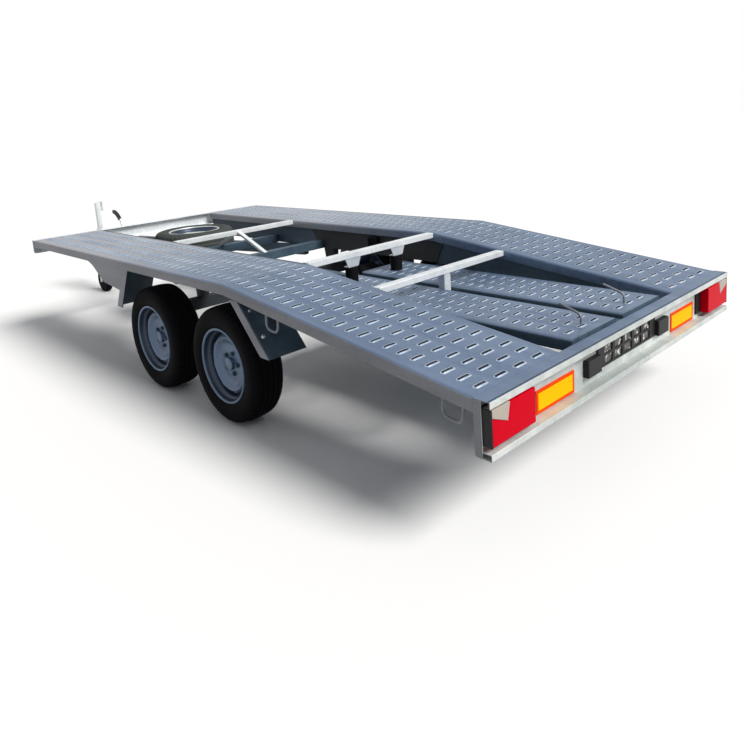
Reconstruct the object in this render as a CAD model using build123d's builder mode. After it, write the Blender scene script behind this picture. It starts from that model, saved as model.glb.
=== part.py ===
from build123d import *
from math import atan2, cos, degrees, hypot, radians, sin
import os

os.makedirs("parts", exist_ok=True)

# Driving sizes in millimetres. Distances along the trailer are measured from its rear face.
overall_length = 5800
overall_width = 2050
track_gap = 996
front_deck_height = 768
rear_deck_height = 584
drawbar_reach = 1474
level_length = 2776
sheet = 4
bend_radius = 7
flange_height = 52
fit_gap = 0.3
running_gap = 0.05
moving_gap = 6

# Slots of the tread plates, of which every third row is cut here
slot_pitch = 70
slot_pitches_per_cut = 3
slot_length = 62
slot_width = 15
slot_rows = 4
slot_row_pitch = 114
slot_margin = 34

# Rear beam with the recess that shelters the lamps
rear_beam_depth = 68
rear_beam_height = 203
recess_depth = 50
top_lip = 25
bottom_strip = 24
beam_wall = 4
beam_corner = 12
end_plate_start = 37
groove_start = 6
groove_width = 5
groove_depth = 2

# Longitudinal beams, front beam and cross members
main_beam_offset = 525
main_beam_height = 190
main_beam_flange = 50
main_beam_wall = 5
front_beam_depth = 50
front_beam_height = 100
member_width = 60
member_height = 60
member_rear_share = 0.4
member_behind = 130
carrier_plate = 6
carrier_start = -65
carrier_length = 1315
carrier_rake = 69
carrier_height = 138

# Crossbars that tie the two tracks together
bar_width = 50
bar_height = 30
bar_wall = 4
bar_front_ahead = 1480
bar_middle_ahead = 25
bar_rear_behind = 505
brace_bar = 30
brace_foot = 45
brace_rear_reach = 330
brace_front_reach = 250
post_width = 50
bracket_offset = 180
bracket_top_width = 140
bracket_foot_width = 74
bracket_drop = 78
buffer_radius = 36
stop_length = 80
stop_height = 65
stop_depth = 40
stop_ahead = 550
stop_lift = 61

# Stowed loading ramps and the rail between them
ramp_start = 80
ramp_overlap = 172
ramp_width = 358
ramp_height = 50
ramp_rail_gap = 5
ramp_lift = 11
rail_width = 50
rail_thickness = 29
rail_overlap = 1770
handle_distance = 147
handle_rod = 11
handle_offset = 190
handle_rise = 36
handle_reach = 105
handle_lift = 44
handle_bend = 14

# Wheels and torsion axles
rear_wheel_ahead = 170
wheel_spacing = 772
wheel_track = 1780
tyre_radius = 307
tyre_width = 188
shoulder = 10
rim_radius = 180
rim_width = 150
rim_wall = 14
dish_depth = 46
disc_thickness = 12
cap_radius = 33
cap_height = 24
drum_radius = 112
drum_width = 110
spindle_radius = 20
arm_length = 170
arm_drop_angle = 40
arm_thickness = 30
arm_width = 66
axle_size = 70
axle_half_length = 700
hanger_length = 110

# Mudguard plates at each end of the wheel pair
guard_sheet = 3
guard_width = 215
guard_strip = 68
guard_rear_top = -288
guard_rear_foot = -508
guard_front_top = 194
guard_front_foot = 343
guard_rear_low = 461
guard_front_low = 468
gusset_front = 728
gusset_depth = 138
gusset_nose = 70
gusset_nose_depth = 25
gusset_brow = 220
gusset_brow_depth = 115

# Lashing rings under the outer flanges
ring_rod = 12
ring_width = 98
ring_drop = 70
ring_corner = 26
ring_rear_distance = 155
ring_middle_behind = 386

# Rear lamps, reflectors and number plate holder
lamp_width = 250
lamp_height = 132
lamp_end_gap = 5
lamp_lift = 18
housing_depth = 10
housing_extra = 45
housing_wall = 6
lens_depth = 40
lens_rim = 3
window_top_width = 100
window_foot_width = 86
window_inner_height = 64
window_outer_height = 28
window_gap = 2
marker_lamp_gap = 30
marker_plate_gap = 72
marker_height = 90
marker_drop = 36
marker_thickness = 4
plate_width = 520
plate_height = 96
plate_thickness = 8
plate_cut_width = 66
plate_cut_height = 34
plate_cut_pitch = 86
plate_cut_rise = 44
plate_cut_columns = 5
plate_cut_rows = 2
plate_lamp_width = 104
plate_lamp_depth = 26

# Front marker lamps
front_marker_width = 64
front_marker_height = 34
front_marker_depth = 18

# Drawbar, overrun device and coupling
drawbar_setback = 1396
drawbar_width = 50
drawbar_height = 80
drawbar_wall = 4
drawbar_spread = 60
housing_length = 460
housing_width = 92
housing_height = 104
housing_corner = 14
housing_plate = 12
bellows_length = 130
bellows_radius = 42
coupling_length = 210
coupling_width = 78
coupling_height = 70
coupling_corner = 16
socket_depth = 49
handle_width = 34
handle_run = 150
handle_height = 56
handle_thickness = 12
ball_radius = 25
ball_setback = 62
lever_setback = 750
lever_radius = 200
lever_bar = 24
lever_thickness = 10
lever_foot_angle = 186
lever_grip_angle = 140
lever_top_angle = 98
grip_bar = 30
grip_thickness = 26
ear_height = 48
ear_length = 68
ear_plate = 6

# Jockey wheel
jockey_setback = 395
jockey_radius = 24
jockey_cap = 60
leg_radius = 18
leg_length = 316
swivel_radius = 11
jockey_top = 893
jockey_foot = 470
jockey_wheel_radius = 115
jockey_wheel_width = 58
jockey_trail = 60
pin_radius = 8
fork_plate = 6
fork_crown = 12
fork_clearance = 6
fork_foot = 17
crown_height = 262
crown_overhang = 24
crank_reach = 110
crank_rod = 10
crank_grip = 90
crank_turn = -43
clamp_height = 60
clamp_wall = 8

# Spare wheel lying between the tracks
spare_setback = 656
spare_plate = 8
spare_depth = 33
spare_stud = 9
spare_nut = 48

# Places worked out from the sizes above
rear_x = -overall_length / 2
front_x = overall_length / 2
half_width = overall_width / 2
track_middle = (overall_width + track_gap) / 4
deck_end = overall_length - drawbar_reach
kink_distance = deck_end - level_length
tread_end = deck_end - front_beam_depth
deck_rise = (front_deck_height - rear_deck_height) / (kink_distance - rear_beam_depth)
deck_angle = atan2(deck_rise, 1)
beam_bottom = front_deck_height - sheet - main_beam_height
ramp_top = rear_deck_height + ramp_lift
ramp_bottom = ramp_top - ramp_height
rail_top = ramp_bottom + rail_thickness
front_member_low = max(rail_top, beam_bottom)
ramp_length = kink_distance + ramp_overlap - ramp_start
rail_end = kink_distance + rail_overlap
bar_front_distance = kink_distance + bar_front_ahead
bar_middle_distance = kink_distance + bar_middle_ahead
bar_rear_distance = kink_distance - bar_rear_behind
rear_wheel_distance = kink_distance + rear_wheel_ahead
front_wheel_distance = rear_wheel_distance + wheel_spacing
wheel_distances = (rear_wheel_distance, front_wheel_distance)
arm_run = arm_length * cos(radians(arm_drop_angle))
arm_drop = arm_length * sin(radians(arm_drop_angle))
axle_z = tyre_radius + arm_drop
disc_face = rim_width / 2 - dish_depth
disc_back = disc_face - disc_thickness
recess_low = rear_deck_height - rear_beam_height + bottom_strip
drawbar_middle = beam_bottom - drawbar_height / 2
housing_end = front_x - coupling_length - bellows_length
housing_start = housing_end - housing_length
sides = (("left", 1), ("right", -1))


def along(distance):
    """Row x of a place this far forward of the rear face."""
    return rear_x + distance


def deck_z(distance):
    """Height of the deck surface at a distance from the rear face."""
    if distance >= kink_distance:
        return front_deck_height
    return rear_deck_height + deck_rise * (distance - rear_beam_depth)


def deck_band(start, end, upper, lower):
    """Side outline of a strip that follows the kinked deck, between two depths below its surface."""
    stations = [start, end]
    if start < kink_distance < end:
        stations.insert(1, kink_distance)
    top = [(along(d), deck_z(d) - upper) for d in stations]
    bottom = [(along(d), deck_z(d) - lower) for d in reversed(stations)]
    return top + bottom


def side_face(points, y):
    """Closed outline of (x, z) points standing in the plane at y."""
    with BuildSketch(Plane.XZ.offset(-y)) as face:
        with BuildLine():
            Polyline(*points, close=True)
        make_face()
    return face.sketch


def span(a, b):
    """Higher end and length of a stretch across the trailer, for an outline carried towards minus Y."""
    return max(a, b), abs(a - b)


def write(piece, name):
    """Label a finished piece and store it as its own file."""
    piece.part.label = name
    export_step(piece.part, f"parts/{name}.step")


# Tread plates: folded channels with rows of slots, split where the deck bends
track_sections = (("rear", rear_beam_depth, kink_distance), ("front", kink_distance, tread_end))
for section, start, end in track_sections:
    for side_name, side in sides:
        outer = side * half_width
        inner = side * track_gap / 2
        cut_pitch = slot_pitch * slot_pitches_per_cut
        row_count = int((end - start - 2 * slot_margin) / cut_pitch) + 1
        with BuildPart() as track:
            high, width = span(inner, outer)
            extrude(side_face(deck_band(start, end, 0, sheet), high), amount=width)
            for edge, wall in ((outer, -side * sheet), (inner, side * sheet)):
                high, width = span(edge, edge + wall)
                extrude(side_face(deck_band(start, end, 0, flange_height), high), amount=width)
            folds = track.edges().filter_by(lambda e: e.length > end - start - bend_radius).group_by(Axis.Y)
            bends = [group.sort_by(Axis.Z)[-1] for group in (folds[0], folds[-1])]
            fillet(bends, bend_radius)
            middle = ((along(start) + along(end)) / 2, side * track_middle, front_deck_height + sheet)
            with BuildSketch(Plane(origin=middle)):
                with GridLocations(cut_pitch, slot_row_pitch, row_count, slot_rows):
                    Rectangle(slot_width, slot_length)
            extrude(amount=-(deck_z(end) - deck_z(start) + flange_height), mode=Mode.SUBTRACT)
        write(track, f"track_{section}_{side_name}")

# Main beams: kinked channels under the inner edges of the tracks
for side_name, side in sides:
    web = side * main_beam_offset
    with BuildPart() as main_beam:
        top, bottom = sheet, sheet + main_beam_height
        high, width = span(web, web + side * main_beam_wall)
        extrude(side_face(deck_band(rear_beam_depth, tread_end, top, bottom), high), amount=width)
        high, width = span(web, web + side * main_beam_flange)
        for upper in (top, bottom - main_beam_wall):
            strip = deck_band(rear_beam_depth, tread_end, upper, upper + main_beam_wall)
            extrude(side_face(strip, high), amount=width)
    write(main_beam, f"main_beam_{side_name}")

# Carrier plates: doublers inside the main beams where the axles hang
carrier_rear = kink_distance + carrier_start
carrier_front = carrier_rear + carrier_length
carrier_outline = (
    (along(carrier_rear), beam_bottom + carrier_height),
    (along(carrier_front), beam_bottom + carrier_height),
    (along(carrier_front - carrier_rake), beam_bottom),
    (along(carrier_rear + carrier_rake), beam_bottom),
)
with BuildPart() as carriers:
    for side_name, side in sides:
        high, width = span(side * main_beam_offset, side * (main_beam_offset - carrier_plate))
        extrude(side_face(carrier_outline, high), amount=width)
write(carriers, "carrier_plates")

# Front beam: a channel that opens rearwards between and under the track ends
with BuildPart() as front_beam:
    low = front_deck_height - front_beam_height
    with BuildSketch(Plane.XZ.offset(-half_width)):
        with BuildLine():
            Polyline(
                (along(tread_end), front_deck_height),
                (along(deck_end), front_deck_height),
                (along(deck_end), low),
                (along(tread_end), low),
                (along(tread_end), low + beam_wall),
                (along(deck_end) - beam_wall, low + beam_wall),
                (along(deck_end) - beam_wall, front_deck_height - beam_wall),
                (along(tread_end), front_deck_height - beam_wall),
                close=True,
            )
        make_face()
    extrude(amount=overall_width)
write(front_beam, "front_beam")

# Rear beam: a box with a top shelf, a turned-down lip and a bottom strip round the lamp recess
with BuildPart() as rear_beam:
    foot = rear_deck_height - rear_beam_height
    box_depth = rear_beam_depth - recess_depth
    with BuildSketch(Plane.XZ.offset(-half_width)) as profile:
        with Locations((rear_x, foot)):
            Rectangle(rear_beam_depth, rear_beam_height, align=(Align.MIN, Align.MIN))
        fillet(profile.vertices().sort_by(Axis.X)[-2:].sort_by(Axis.Y)[0], beam_corner)
        with Locations((rear_x, recess_low)):
            Rectangle(
                recess_depth,
                rear_beam_height - bottom_strip - top_lip,
                align=(Align.MIN, Align.MIN),
                mode=Mode.SUBTRACT,
            )
        with Locations((rear_x + recess_depth + beam_wall, foot + beam_wall + beam_corner)):
            Rectangle(
                box_depth - 2 * beam_wall,
                rear_beam_height - 2 * beam_wall - beam_corner,
                align=(Align.MIN, Align.MIN),
                mode=Mode.SUBTRACT,
            )
        with Locations((rear_x + beam_wall, rear_deck_height - top_lip)):
            Rectangle(
                recess_depth - beam_wall,
                top_lip - beam_wall,
                align=(Align.MIN, Align.MIN),
                mode=Mode.SUBTRACT,
            )
        with Locations((rear_x + beam_wall, foot + beam_wall)):
            Rectangle(
                recess_depth - beam_wall,
                bottom_strip - 2 * beam_wall,
                align=(Align.MIN, Align.MIN),
                mode=Mode.SUBTRACT,
            )
        with Locations((rear_x + groove_start, rear_deck_height)):
            Rectangle(groove_width, groove_depth, align=(Align.MIN, Align.MAX), mode=Mode.SUBTRACT)
    extrude(amount=overall_width)
    for end_y in (half_width, beam_wall - half_width):
        with BuildSketch(Plane.XZ.offset(-end_y)) as end_plate:
            with Locations((rear_x + end_plate_start, foot)):
                Rectangle(rear_beam_depth - end_plate_start, rear_beam_height, align=(Align.MIN, Align.MIN))
            fillet(end_plate.vertices().sort_by(Axis.X)[-2:].sort_by(Axis.Y)[0], beam_corner)
        extrude(amount=beam_wall)
write(rear_beam, "rear_beam")

# Cross members: distance, underside height and half length of each
members = (
    (kink_distance * member_rear_share, ramp_bottom - member_height, main_beam_offset),
    (kink_distance - member_behind, ramp_bottom - member_height, main_beam_offset),
    (bar_front_distance - brace_rear_reach, front_member_low, main_beam_offset - carrier_plate),
    (bar_front_distance + brace_front_reach, front_member_low, main_beam_offset),
)
with BuildPart() as cross_members:
    for distance, low, half_length in members:
        with BuildSketch(Plane.XZ.offset(-half_length)):
            with Locations((along(distance), low + member_height / 2)):
                Rectangle(member_width, member_height)
                Rectangle(member_width - 2 * beam_wall, member_height - 2 * beam_wall, mode=Mode.SUBTRACT)
        extrude(amount=2 * half_length)
write(cross_members, "cross_members")

# Centre rail: a flat bar in the gap between the ramps
with BuildPart() as centre_rail:
    with BuildSketch(Plane.YZ.offset(along(rear_beam_depth))):
        with Locations((0, ramp_bottom)):
            Rectangle(rail_width, rail_thickness, align=(Align.CENTER, Align.MIN))
    extrude(amount=rail_end - rear_beam_depth)
write(centre_rail, "centre_rail")


def bar_top(distance):
    """Height of a crossbar's top, level with the deck above its lower edge."""
    return deck_z(distance - bar_width / 2)


def bar_profile(distance):
    """Section of a crossbar: an upturned channel whose top is level with the deck there."""
    top = bar_top(distance)
    with BuildSketch(Plane.XZ.offset(-track_gap / 2)) as section_sketch:
        with Locations((along(distance), top)):
            Rectangle(bar_width, bar_height, align=(Align.CENTER, Align.MAX))
        with Locations((along(distance), top - bar_wall)):
            Rectangle(
                bar_width - 2 * bar_wall,
                bar_height - bar_wall,
                align=(Align.CENTER, Align.MAX),
                mode=Mode.SUBTRACT,
            )
    return section_sketch.sketch


# Front crossbar with its two raking legs on the cross members
front_bar_low = bar_top(bar_front_distance) - bar_wall
leg_foot = front_member_low + member_height
with BuildPart() as crossbar_front:
    extrude(bar_profile(bar_front_distance), amount=track_gap)
    for reach in (-brace_rear_reach, brace_front_reach):
        toe = bar_front_distance + reach
        half_bar = brace_foot / 2
        leg_outline = (
            (along(bar_front_distance) - half_bar, front_bar_low),
            (along(bar_front_distance) + half_bar, front_bar_low),
            (along(toe) + half_bar, leg_foot),
            (along(toe) - half_bar, leg_foot),
        )
        extrude(side_face(leg_outline, brace_bar / 2), amount=brace_bar)
write(crossbar_front, "crossbar_front")

# Middle crossbar with two brackets that carry the ramp buffers
bracket_top = bar_top(bar_middle_distance) - bar_wall
bracket_low = bracket_top - bracket_drop
with BuildPart() as crossbar_middle:
    extrude(bar_profile(bar_middle_distance), amount=track_gap)
    for side_name, side in sides:
        with BuildSketch(Plane.YZ.offset(along(bar_middle_distance) - bar_width / 2 + bar_wall)):
            with Locations((side * bracket_offset, bracket_top - bracket_drop / 2)):
                Trapezoid(
                    bracket_top_width,
                    bracket_drop,
                    degrees(atan2(bracket_drop, (bracket_top_width - bracket_foot_width) / 2)),
                    rotation=180,
                )
        extrude(amount=bar_wall)
        with BuildSketch(Plane.XY.offset(bracket_low)):
            with Locations((along(bar_middle_distance), side * bracket_offset)):
                Rectangle(bar_width - 2 * bar_wall, bracket_foot_width)
        extrude(amount=bar_wall)
write(crossbar_middle, "crossbar_middle")

# Rubber buffers that press on the stowed ramps, and a stop block on the right beam
with BuildPart() as buffers:
    for side_name, side in sides:
        with BuildSketch(Plane.XY.offset(ramp_top + fit_gap)):
            with Locations((along(bar_middle_distance), side * bracket_offset)):
                Circle(buffer_radius)
        extrude(amount=bracket_low - ramp_top - fit_gap)
    stop_x = along(kink_distance + stop_ahead)
    with BuildSketch(Plane.XZ.offset(main_beam_offset - carrier_plate - stop_depth)):
        with Locations((stop_x, beam_bottom + stop_lift)):
            Rectangle(stop_length, stop_height, align=(Align.CENTER, Align.MIN))
    extrude(amount=stop_depth)
write(buffers, "ramp_buffers")

# Rear crossbar with its post on the centre rail
with BuildPart() as crossbar_rear:
    extrude(bar_profile(bar_rear_distance), amount=track_gap)
    post_top = bar_top(bar_rear_distance) - bar_wall
    with BuildSketch(Plane.XY.offset(rail_top)):
        with Locations((along(bar_rear_distance), 0)):
            Rectangle(bar_width - 2 * bar_wall, post_width)
            with Locations((beam_wall, 0)):
                Rectangle(bar_width - 2 * bar_wall, post_width - 2 * beam_wall, mode=Mode.SUBTRACT)
    extrude(amount=post_top - rail_top)
write(crossbar_rear, "crossbar_rear")

# Stowed ramps: shallow channels with closed ends
ramp_middle_x = along(ramp_start + ramp_length / 2)
ramp_offset = rail_width / 2 + ramp_rail_gap + ramp_width / 2
for side_name, side in sides:
    with BuildPart() as ramp:
        with Locations((ramp_middle_x, side * ramp_offset, ramp_bottom)):
            Box(ramp_length, ramp_width, ramp_height, align=(Align.CENTER, Align.CENTER, Align.MIN))
            Box(
                ramp_length - 2 * sheet,
                ramp_width - 2 * sheet,
                ramp_height - sheet,
                align=(Align.CENTER, Align.CENTER, Align.MIN),
                mode=Mode.SUBTRACT,
            )
    write(ramp, f"ramp_{side_name}")

# Bent bars that latch the ramps at the rear
rod_x = along(handle_distance)
handle_outline = (
    (rod_x, ramp_top),
    (rod_x, ramp_top + handle_rise),
    (rod_x + handle_bend, ramp_top + handle_rise + handle_bend),
    (rod_x + handle_reach, ramp_top + handle_rise + handle_lift),
    (rod_x + handle_reach, ramp_top + handle_rise + handle_lift - handle_rod),
    (rod_x + handle_rod + handle_bend, ramp_top + handle_rise),
    (rod_x + handle_rod, ramp_top + handle_rise - handle_bend),
    (rod_x + handle_rod, ramp_top),
)
with BuildPart() as handles:
    for side_name, side in sides:
        extrude(side_face(handle_outline, side * handle_offset + handle_rod / 2), amount=handle_rod)
write(handles, "ramp_handles")

# Torsion axles: square tubes hung from the main beams
for axle_name, distance in zip(("rear", "front"), wheel_distances):
    axle_x = along(distance + arm_run)
    with BuildPart() as axle:
        with BuildSketch(Plane.XZ.offset(-axle_half_length)):
            with Locations((axle_x, axle_z)):
                Rectangle(axle_size, axle_size)
        extrude(amount=2 * axle_half_length)
        for side_name, side in sides:
            hanger_outline = (
                (axle_x - hanger_length / 2, beam_bottom),
                (axle_x + hanger_length / 2, beam_bottom),
                (axle_x + axle_size / 2, axle_z + axle_size / 2),
                (axle_x - axle_size / 2, axle_z + axle_size / 2),
            )
            high, width = span(side * main_beam_offset, side * (main_beam_offset + main_beam_flange))
            extrude(side_face(hanger_outline, high), amount=width)
    write(axle, f"axle_{axle_name}")

# Swing arms with brake drums and spindles, one at each wheel
spindle_end = wheel_track / 2 + disc_face - moving_gap
drum_inner = axle_half_length + arm_thickness + fit_gap
with BuildPart() as arms:
    for distance in wheel_distances:
        wheel_x = along(distance)
        axle_x = along(distance + arm_run)
        for side_name, side in sides:
            inner = side * (axle_half_length + fit_gap)
            high, width = span(inner, inner + side * arm_thickness)
            with BuildSketch(Plane.XZ.offset(-high)):
                with Locations(((axle_x + wheel_x) / 2, (axle_z + tyre_radius) / 2)):
                    Rectangle(arm_length + arm_width, arm_width, rotation=arm_drop_angle)
            extrude(amount=width)
            drum_start = side * drum_inner
            for radius, end in ((drum_radius, drum_inner + drum_width), (spindle_radius, spindle_end)):
                high, width = span(drum_start, side * end)
                with BuildSketch(Plane.XZ.offset(-high)):
                    with Locations((wheel_x, tyre_radius)):
                        Circle(radius)
                extrude(amount=width)
write(arms, "swing_arms")

# Wheels: a tyre on each dished steel rim, whose hub turns on the spindle
spare_tyre_profile = (
    (rim_radius, tyre_width / 2),
    (rim_radius, -tyre_width / 2),
    (tyre_radius, -tyre_width / 2),
    (tyre_radius, tyre_width / 2),
)
tyre_profile = (
    *spare_tyre_profile[:3],
    (tyre_radius, tyre_width / 2 - shoulder),
    (tyre_radius - shoulder, tyre_width / 2),
)
barrel = rim_radius - rim_wall
rim_edge = rim_radius - fit_gap
wheel_bore = spindle_radius + running_gap
dish_profile = (
    (barrel, disc_back),
    (barrel, -rim_width / 2),
    (rim_edge, -rim_width / 2),
    (rim_edge, rim_width / 2),
    (barrel, rim_width / 2),
    (barrel, disc_face),
    (cap_radius, disc_face),
)
rim_profile = (
    (wheel_bore, disc_back),
    *dish_profile,
    (cap_radius, disc_face + cap_height),
    (0, disc_face + cap_height),
    (0, disc_face),
    (wheel_bore, disc_face),
)
spare_rim_profile = (*dish_profile, (cap_radius, disc_back))


def wheel_section(points, origin, side):
    """Half section of a wheel as (radius, offset) points; positive offsets face outwards."""
    plane = Plane(origin=origin, x_dir=(1, 0, 0), z_dir=(0, 0, side))
    with BuildSketch(plane) as half:
        with BuildLine():
            Polyline(*points, close=True)
        make_face()
    return half.sketch


wheel_corners = (
    ("rear_left", rear_wheel_distance, 1),
    ("rear_right", rear_wheel_distance, -1),
    ("front_left", front_wheel_distance, 1),
    ("front_right", front_wheel_distance, -1),
)
for corner, distance, side in wheel_corners:
    centre = (along(distance), side * wheel_track / 2, tyre_radius)
    spin = Axis(centre, (0, 1, 0))
    with BuildPart() as tyre:
        revolve(wheel_section(tyre_profile, centre, side), axis=spin)
    write(tyre, f"tyre_{corner}")
    with BuildPart() as rim:
        revolve(wheel_section(rim_profile, centre, side), axis=spin)
    write(rim, f"rim_{corner}")

# Mudguard plates: slanted sheets with an outer strip, and a gusset ahead of the front one
for side_name, side in sides:
    inner = side * (half_width - guard_width)
    outer = side * half_width
    with BuildPart() as guards:
        plates = (
            (rear_wheel_distance, guard_rear_top, guard_rear_foot, guard_rear_low, 1),
            (front_wheel_distance, guard_front_top, guard_front_foot, guard_front_low, -1),
        )
        for wheel_distance, top_offset, foot_offset, low, inward in plates:
            top_distance = wheel_distance + top_offset
            foot_distance = wheel_distance + foot_offset
            strip_top = deck_z(top_distance) - flange_height
            lean = (foot_distance - top_distance) / (strip_top - low)
            head = top_distance - lean * (flange_height - sheet)
            skin = (
                (along(head), deck_z(head) - sheet),
                (along(foot_distance), low),
                (along(foot_distance) + inward * guard_sheet, low),
                (along(head) + inward * guard_sheet, deck_z(head) - sheet),
            )
            high, width = span(inner, outer - side * sheet)
            extrude(side_face(skin, high), amount=width)
            strip = (
                (along(top_distance), strip_top),
                (along(foot_distance), low),
                (along(foot_distance) + inward * guard_strip, low),
                (along(top_distance) + inward * guard_strip, strip_top),
            )
            high, width = span(outer, outer - side * (sheet + guard_sheet))
            extrude(side_face(strip, high), amount=width)
        gusset_tip = front_wheel_distance + gusset_front
        gusset_foot = top_distance + lean * gusset_depth
        high, width = span(outer, outer - side * sheet)
        with BuildSketch(Plane.XZ.offset(-high)):
            with BuildLine():
                Polyline(
                    (along(gusset_tip), strip_top),
                    (along(top_distance), strip_top),
                    (along(gusset_foot), strip_top - gusset_depth),
                    (along(gusset_tip - gusset_brow), strip_top - gusset_brow_depth),
                    (along(gusset_tip - gusset_nose), strip_top - gusset_nose_depth),
                    close=True,
                )
            make_face()
        extrude(amount=width)
    write(guards, f"mudguards_{side_name}")

# Lashing rings: bent bars under the outer flanges near the rear and behind the wheels
with BuildPart() as rings:
    for side_name, side in sides:
        for distance in (ring_rear_distance, kink_distance - ring_middle_behind):
            high, width = span(side * half_width, side * (half_width - ring_rod))
            ring_plane = Plane(
                origin=(along(distance), high, deck_z(distance) - flange_height),
                x_dir=(cos(deck_angle), 0, sin(deck_angle)),
                z_dir=(0, -1, 0),
            )
            with BuildSketch(ring_plane):
                for shrink, mode in ((0, Mode.ADD), (ring_rod, Mode.SUBTRACT)):
                    half_ring = ring_width / 2 - shrink
                    ring_low = ring_drop - shrink
                    with BuildLine():
                        Polyline(
                            (-half_ring, 0),
                            (-half_ring, ring_corner - ring_low),
                            (ring_corner - half_ring, -ring_low),
                            (half_ring - ring_corner, -ring_low),
                            (half_ring, ring_corner - ring_low),
                            (half_ring, 0),
                            close=True,
                        )
                    make_face(mode=mode)
            extrude(amount=width)
write(rings, "lashing_rings")

# Rear lamps in the recess: dark housings, red lenses and clear windows
recess_x = rear_x + recess_depth
lamp_z = recess_low + lamp_lift + lamp_height / 2
lamp_y = half_width - lamp_end_gap - lamp_width / 2
lens_x = recess_x - housing_depth
housing_low_y = lamp_y - lamp_width / 2 - housing_extra
housing_high_y = lamp_y + lamp_width / 2
lens_high_y = housing_high_y - housing_wall - running_gap
lens_low_y = lamp_y - lamp_width / 2
lens_top = lamp_z + lamp_height / 2 - lens_rim


def window_face(side, gap):
    """Outline of a clear window in the upper outer corner of a lens, held back from the lens by a gap."""
    points = (
        (lens_high_y, lens_top),
        (lens_high_y - window_top_width + gap, lens_top),
        (lens_high_y - window_foot_width + gap, lens_top - window_inner_height + gap),
        (lens_high_y, lens_top - window_outer_height + gap),
    )
    with BuildSketch(Plane.YZ.offset(lens_x - lens_depth)) as outline:
        with BuildLine():
            Polyline(*[(side * y, z) for y, z in points], close=True)
        make_face()
    return outline.sketch


with BuildPart() as housings:
    for side_name, side in sides:
        for inner_y, front, depth in (
            (housing_low_y, lens_x, housing_depth),
            (housing_high_y - housing_wall, lens_x - lens_depth, lens_depth),
        ):
            with BuildSketch(Plane.YZ.offset(front)):
                with Locations((side * (inner_y + housing_high_y) / 2, lamp_z)):
                    Rectangle(housing_high_y - inner_y, lamp_height)
            extrude(amount=depth)
write(housings, "lamp_housings")
with BuildPart() as lenses:
    for side_name, side in sides:
        with BuildSketch(Plane.YZ.offset(lens_x - lens_depth)):
            with Locations((side * (lens_low_y + lens_high_y) / 2, lamp_z)):
                Rectangle(lens_high_y - lens_low_y, lamp_height - 2 * lens_rim)
        extrude(amount=lens_depth)
        extrude(window_face(side, 0), amount=lens_depth, mode=Mode.SUBTRACT)
write(lenses, "lamp_lenses")
with BuildPart() as windows:
    for side_name, side in sides:
        extrude(window_face(side, window_gap), amount=lens_depth)
write(windows, "lamp_windows")

# Reflective marker plates inboard of the lamps
marker_start = plate_width / 2 + plate_lamp_width + marker_plate_gap
marker_end = housing_low_y - marker_lamp_gap
marker_z = lamp_z - marker_drop
with BuildPart() as markers:
    for side_name, side in sides:
        with BuildSketch(Plane.YZ.offset(recess_x - marker_thickness)):
            with Locations((side * (marker_start + marker_end) / 2, marker_z)):
                Rectangle(marker_end - marker_start, marker_height)
        extrude(amount=marker_thickness)
write(markers, "marker_plates")

# Number plate holder with cut-outs, and a plate lamp at each end
with BuildPart() as plate_holder:
    with BuildSketch(Plane.YZ.offset(recess_x - plate_thickness)):
        with Locations((0, lamp_z)):
            Rectangle(plate_width, plate_height)
            with GridLocations(plate_cut_pitch, plate_cut_rise, plate_cut_columns, plate_cut_rows):
                Rectangle(plate_cut_width, plate_cut_height, mode=Mode.SUBTRACT)
    extrude(amount=plate_thickness)
write(plate_holder, "plate_holder")
with BuildPart() as plate_lamps:
    for side_name, side in sides:
        with BuildSketch(Plane.YZ.offset(recess_x - plate_lamp_depth)):
            with Locations((side * (plate_width / 2 + plate_lamp_width / 2), lamp_z)):
                Rectangle(plate_lamp_width, plate_height)
        extrude(amount=plate_lamp_depth)
write(plate_lamps, "plate_lamps")

# Front marker lamps at the corners of the front beam
front_marker_y = half_width - front_marker_width
front_marker_z = front_deck_height - front_beam_height / 2
with BuildPart() as front_markers:
    for side_name, side in sides:
        with BuildSketch(Plane.YZ.offset(along(deck_end))):
            with Locations((side * front_marker_y, front_marker_z)):
                Rectangle(front_marker_width, front_marker_height)
        extrude(amount=front_marker_depth)
write(front_markers, "front_markers")

# Drawbar: two box tubes that run together from the main beams to the overrun device
apex_x = housing_start
root_y = main_beam_offset + main_beam_flange / 2
root_x = along(deck_end - drawbar_setback)
bar_turn = atan2(root_y - drawbar_spread, apex_x - root_x)
tube_length = hypot(apex_x - root_x, root_y - drawbar_spread)
for side_name, side in sides:
    heading = (cos(bar_turn), -side * sin(bar_turn), 0)
    tube_plane = Plane(origin=(root_x, side * root_y, drawbar_middle), x_dir=(0, 0, 1), z_dir=heading)
    with BuildPart() as drawbar:
        with BuildSketch(tube_plane):
            Rectangle(drawbar_height, drawbar_width)
            Rectangle(drawbar_height - 2 * drawbar_wall, drawbar_width - 2 * drawbar_wall, mode=Mode.SUBTRACT)
        extrude(amount=tube_length + drawbar_width)
        split(bisect_by=Plane.YZ.offset(apex_x), keep=Keep.BOTTOM)
    write(drawbar, f"drawbar_{side_name}")

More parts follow.
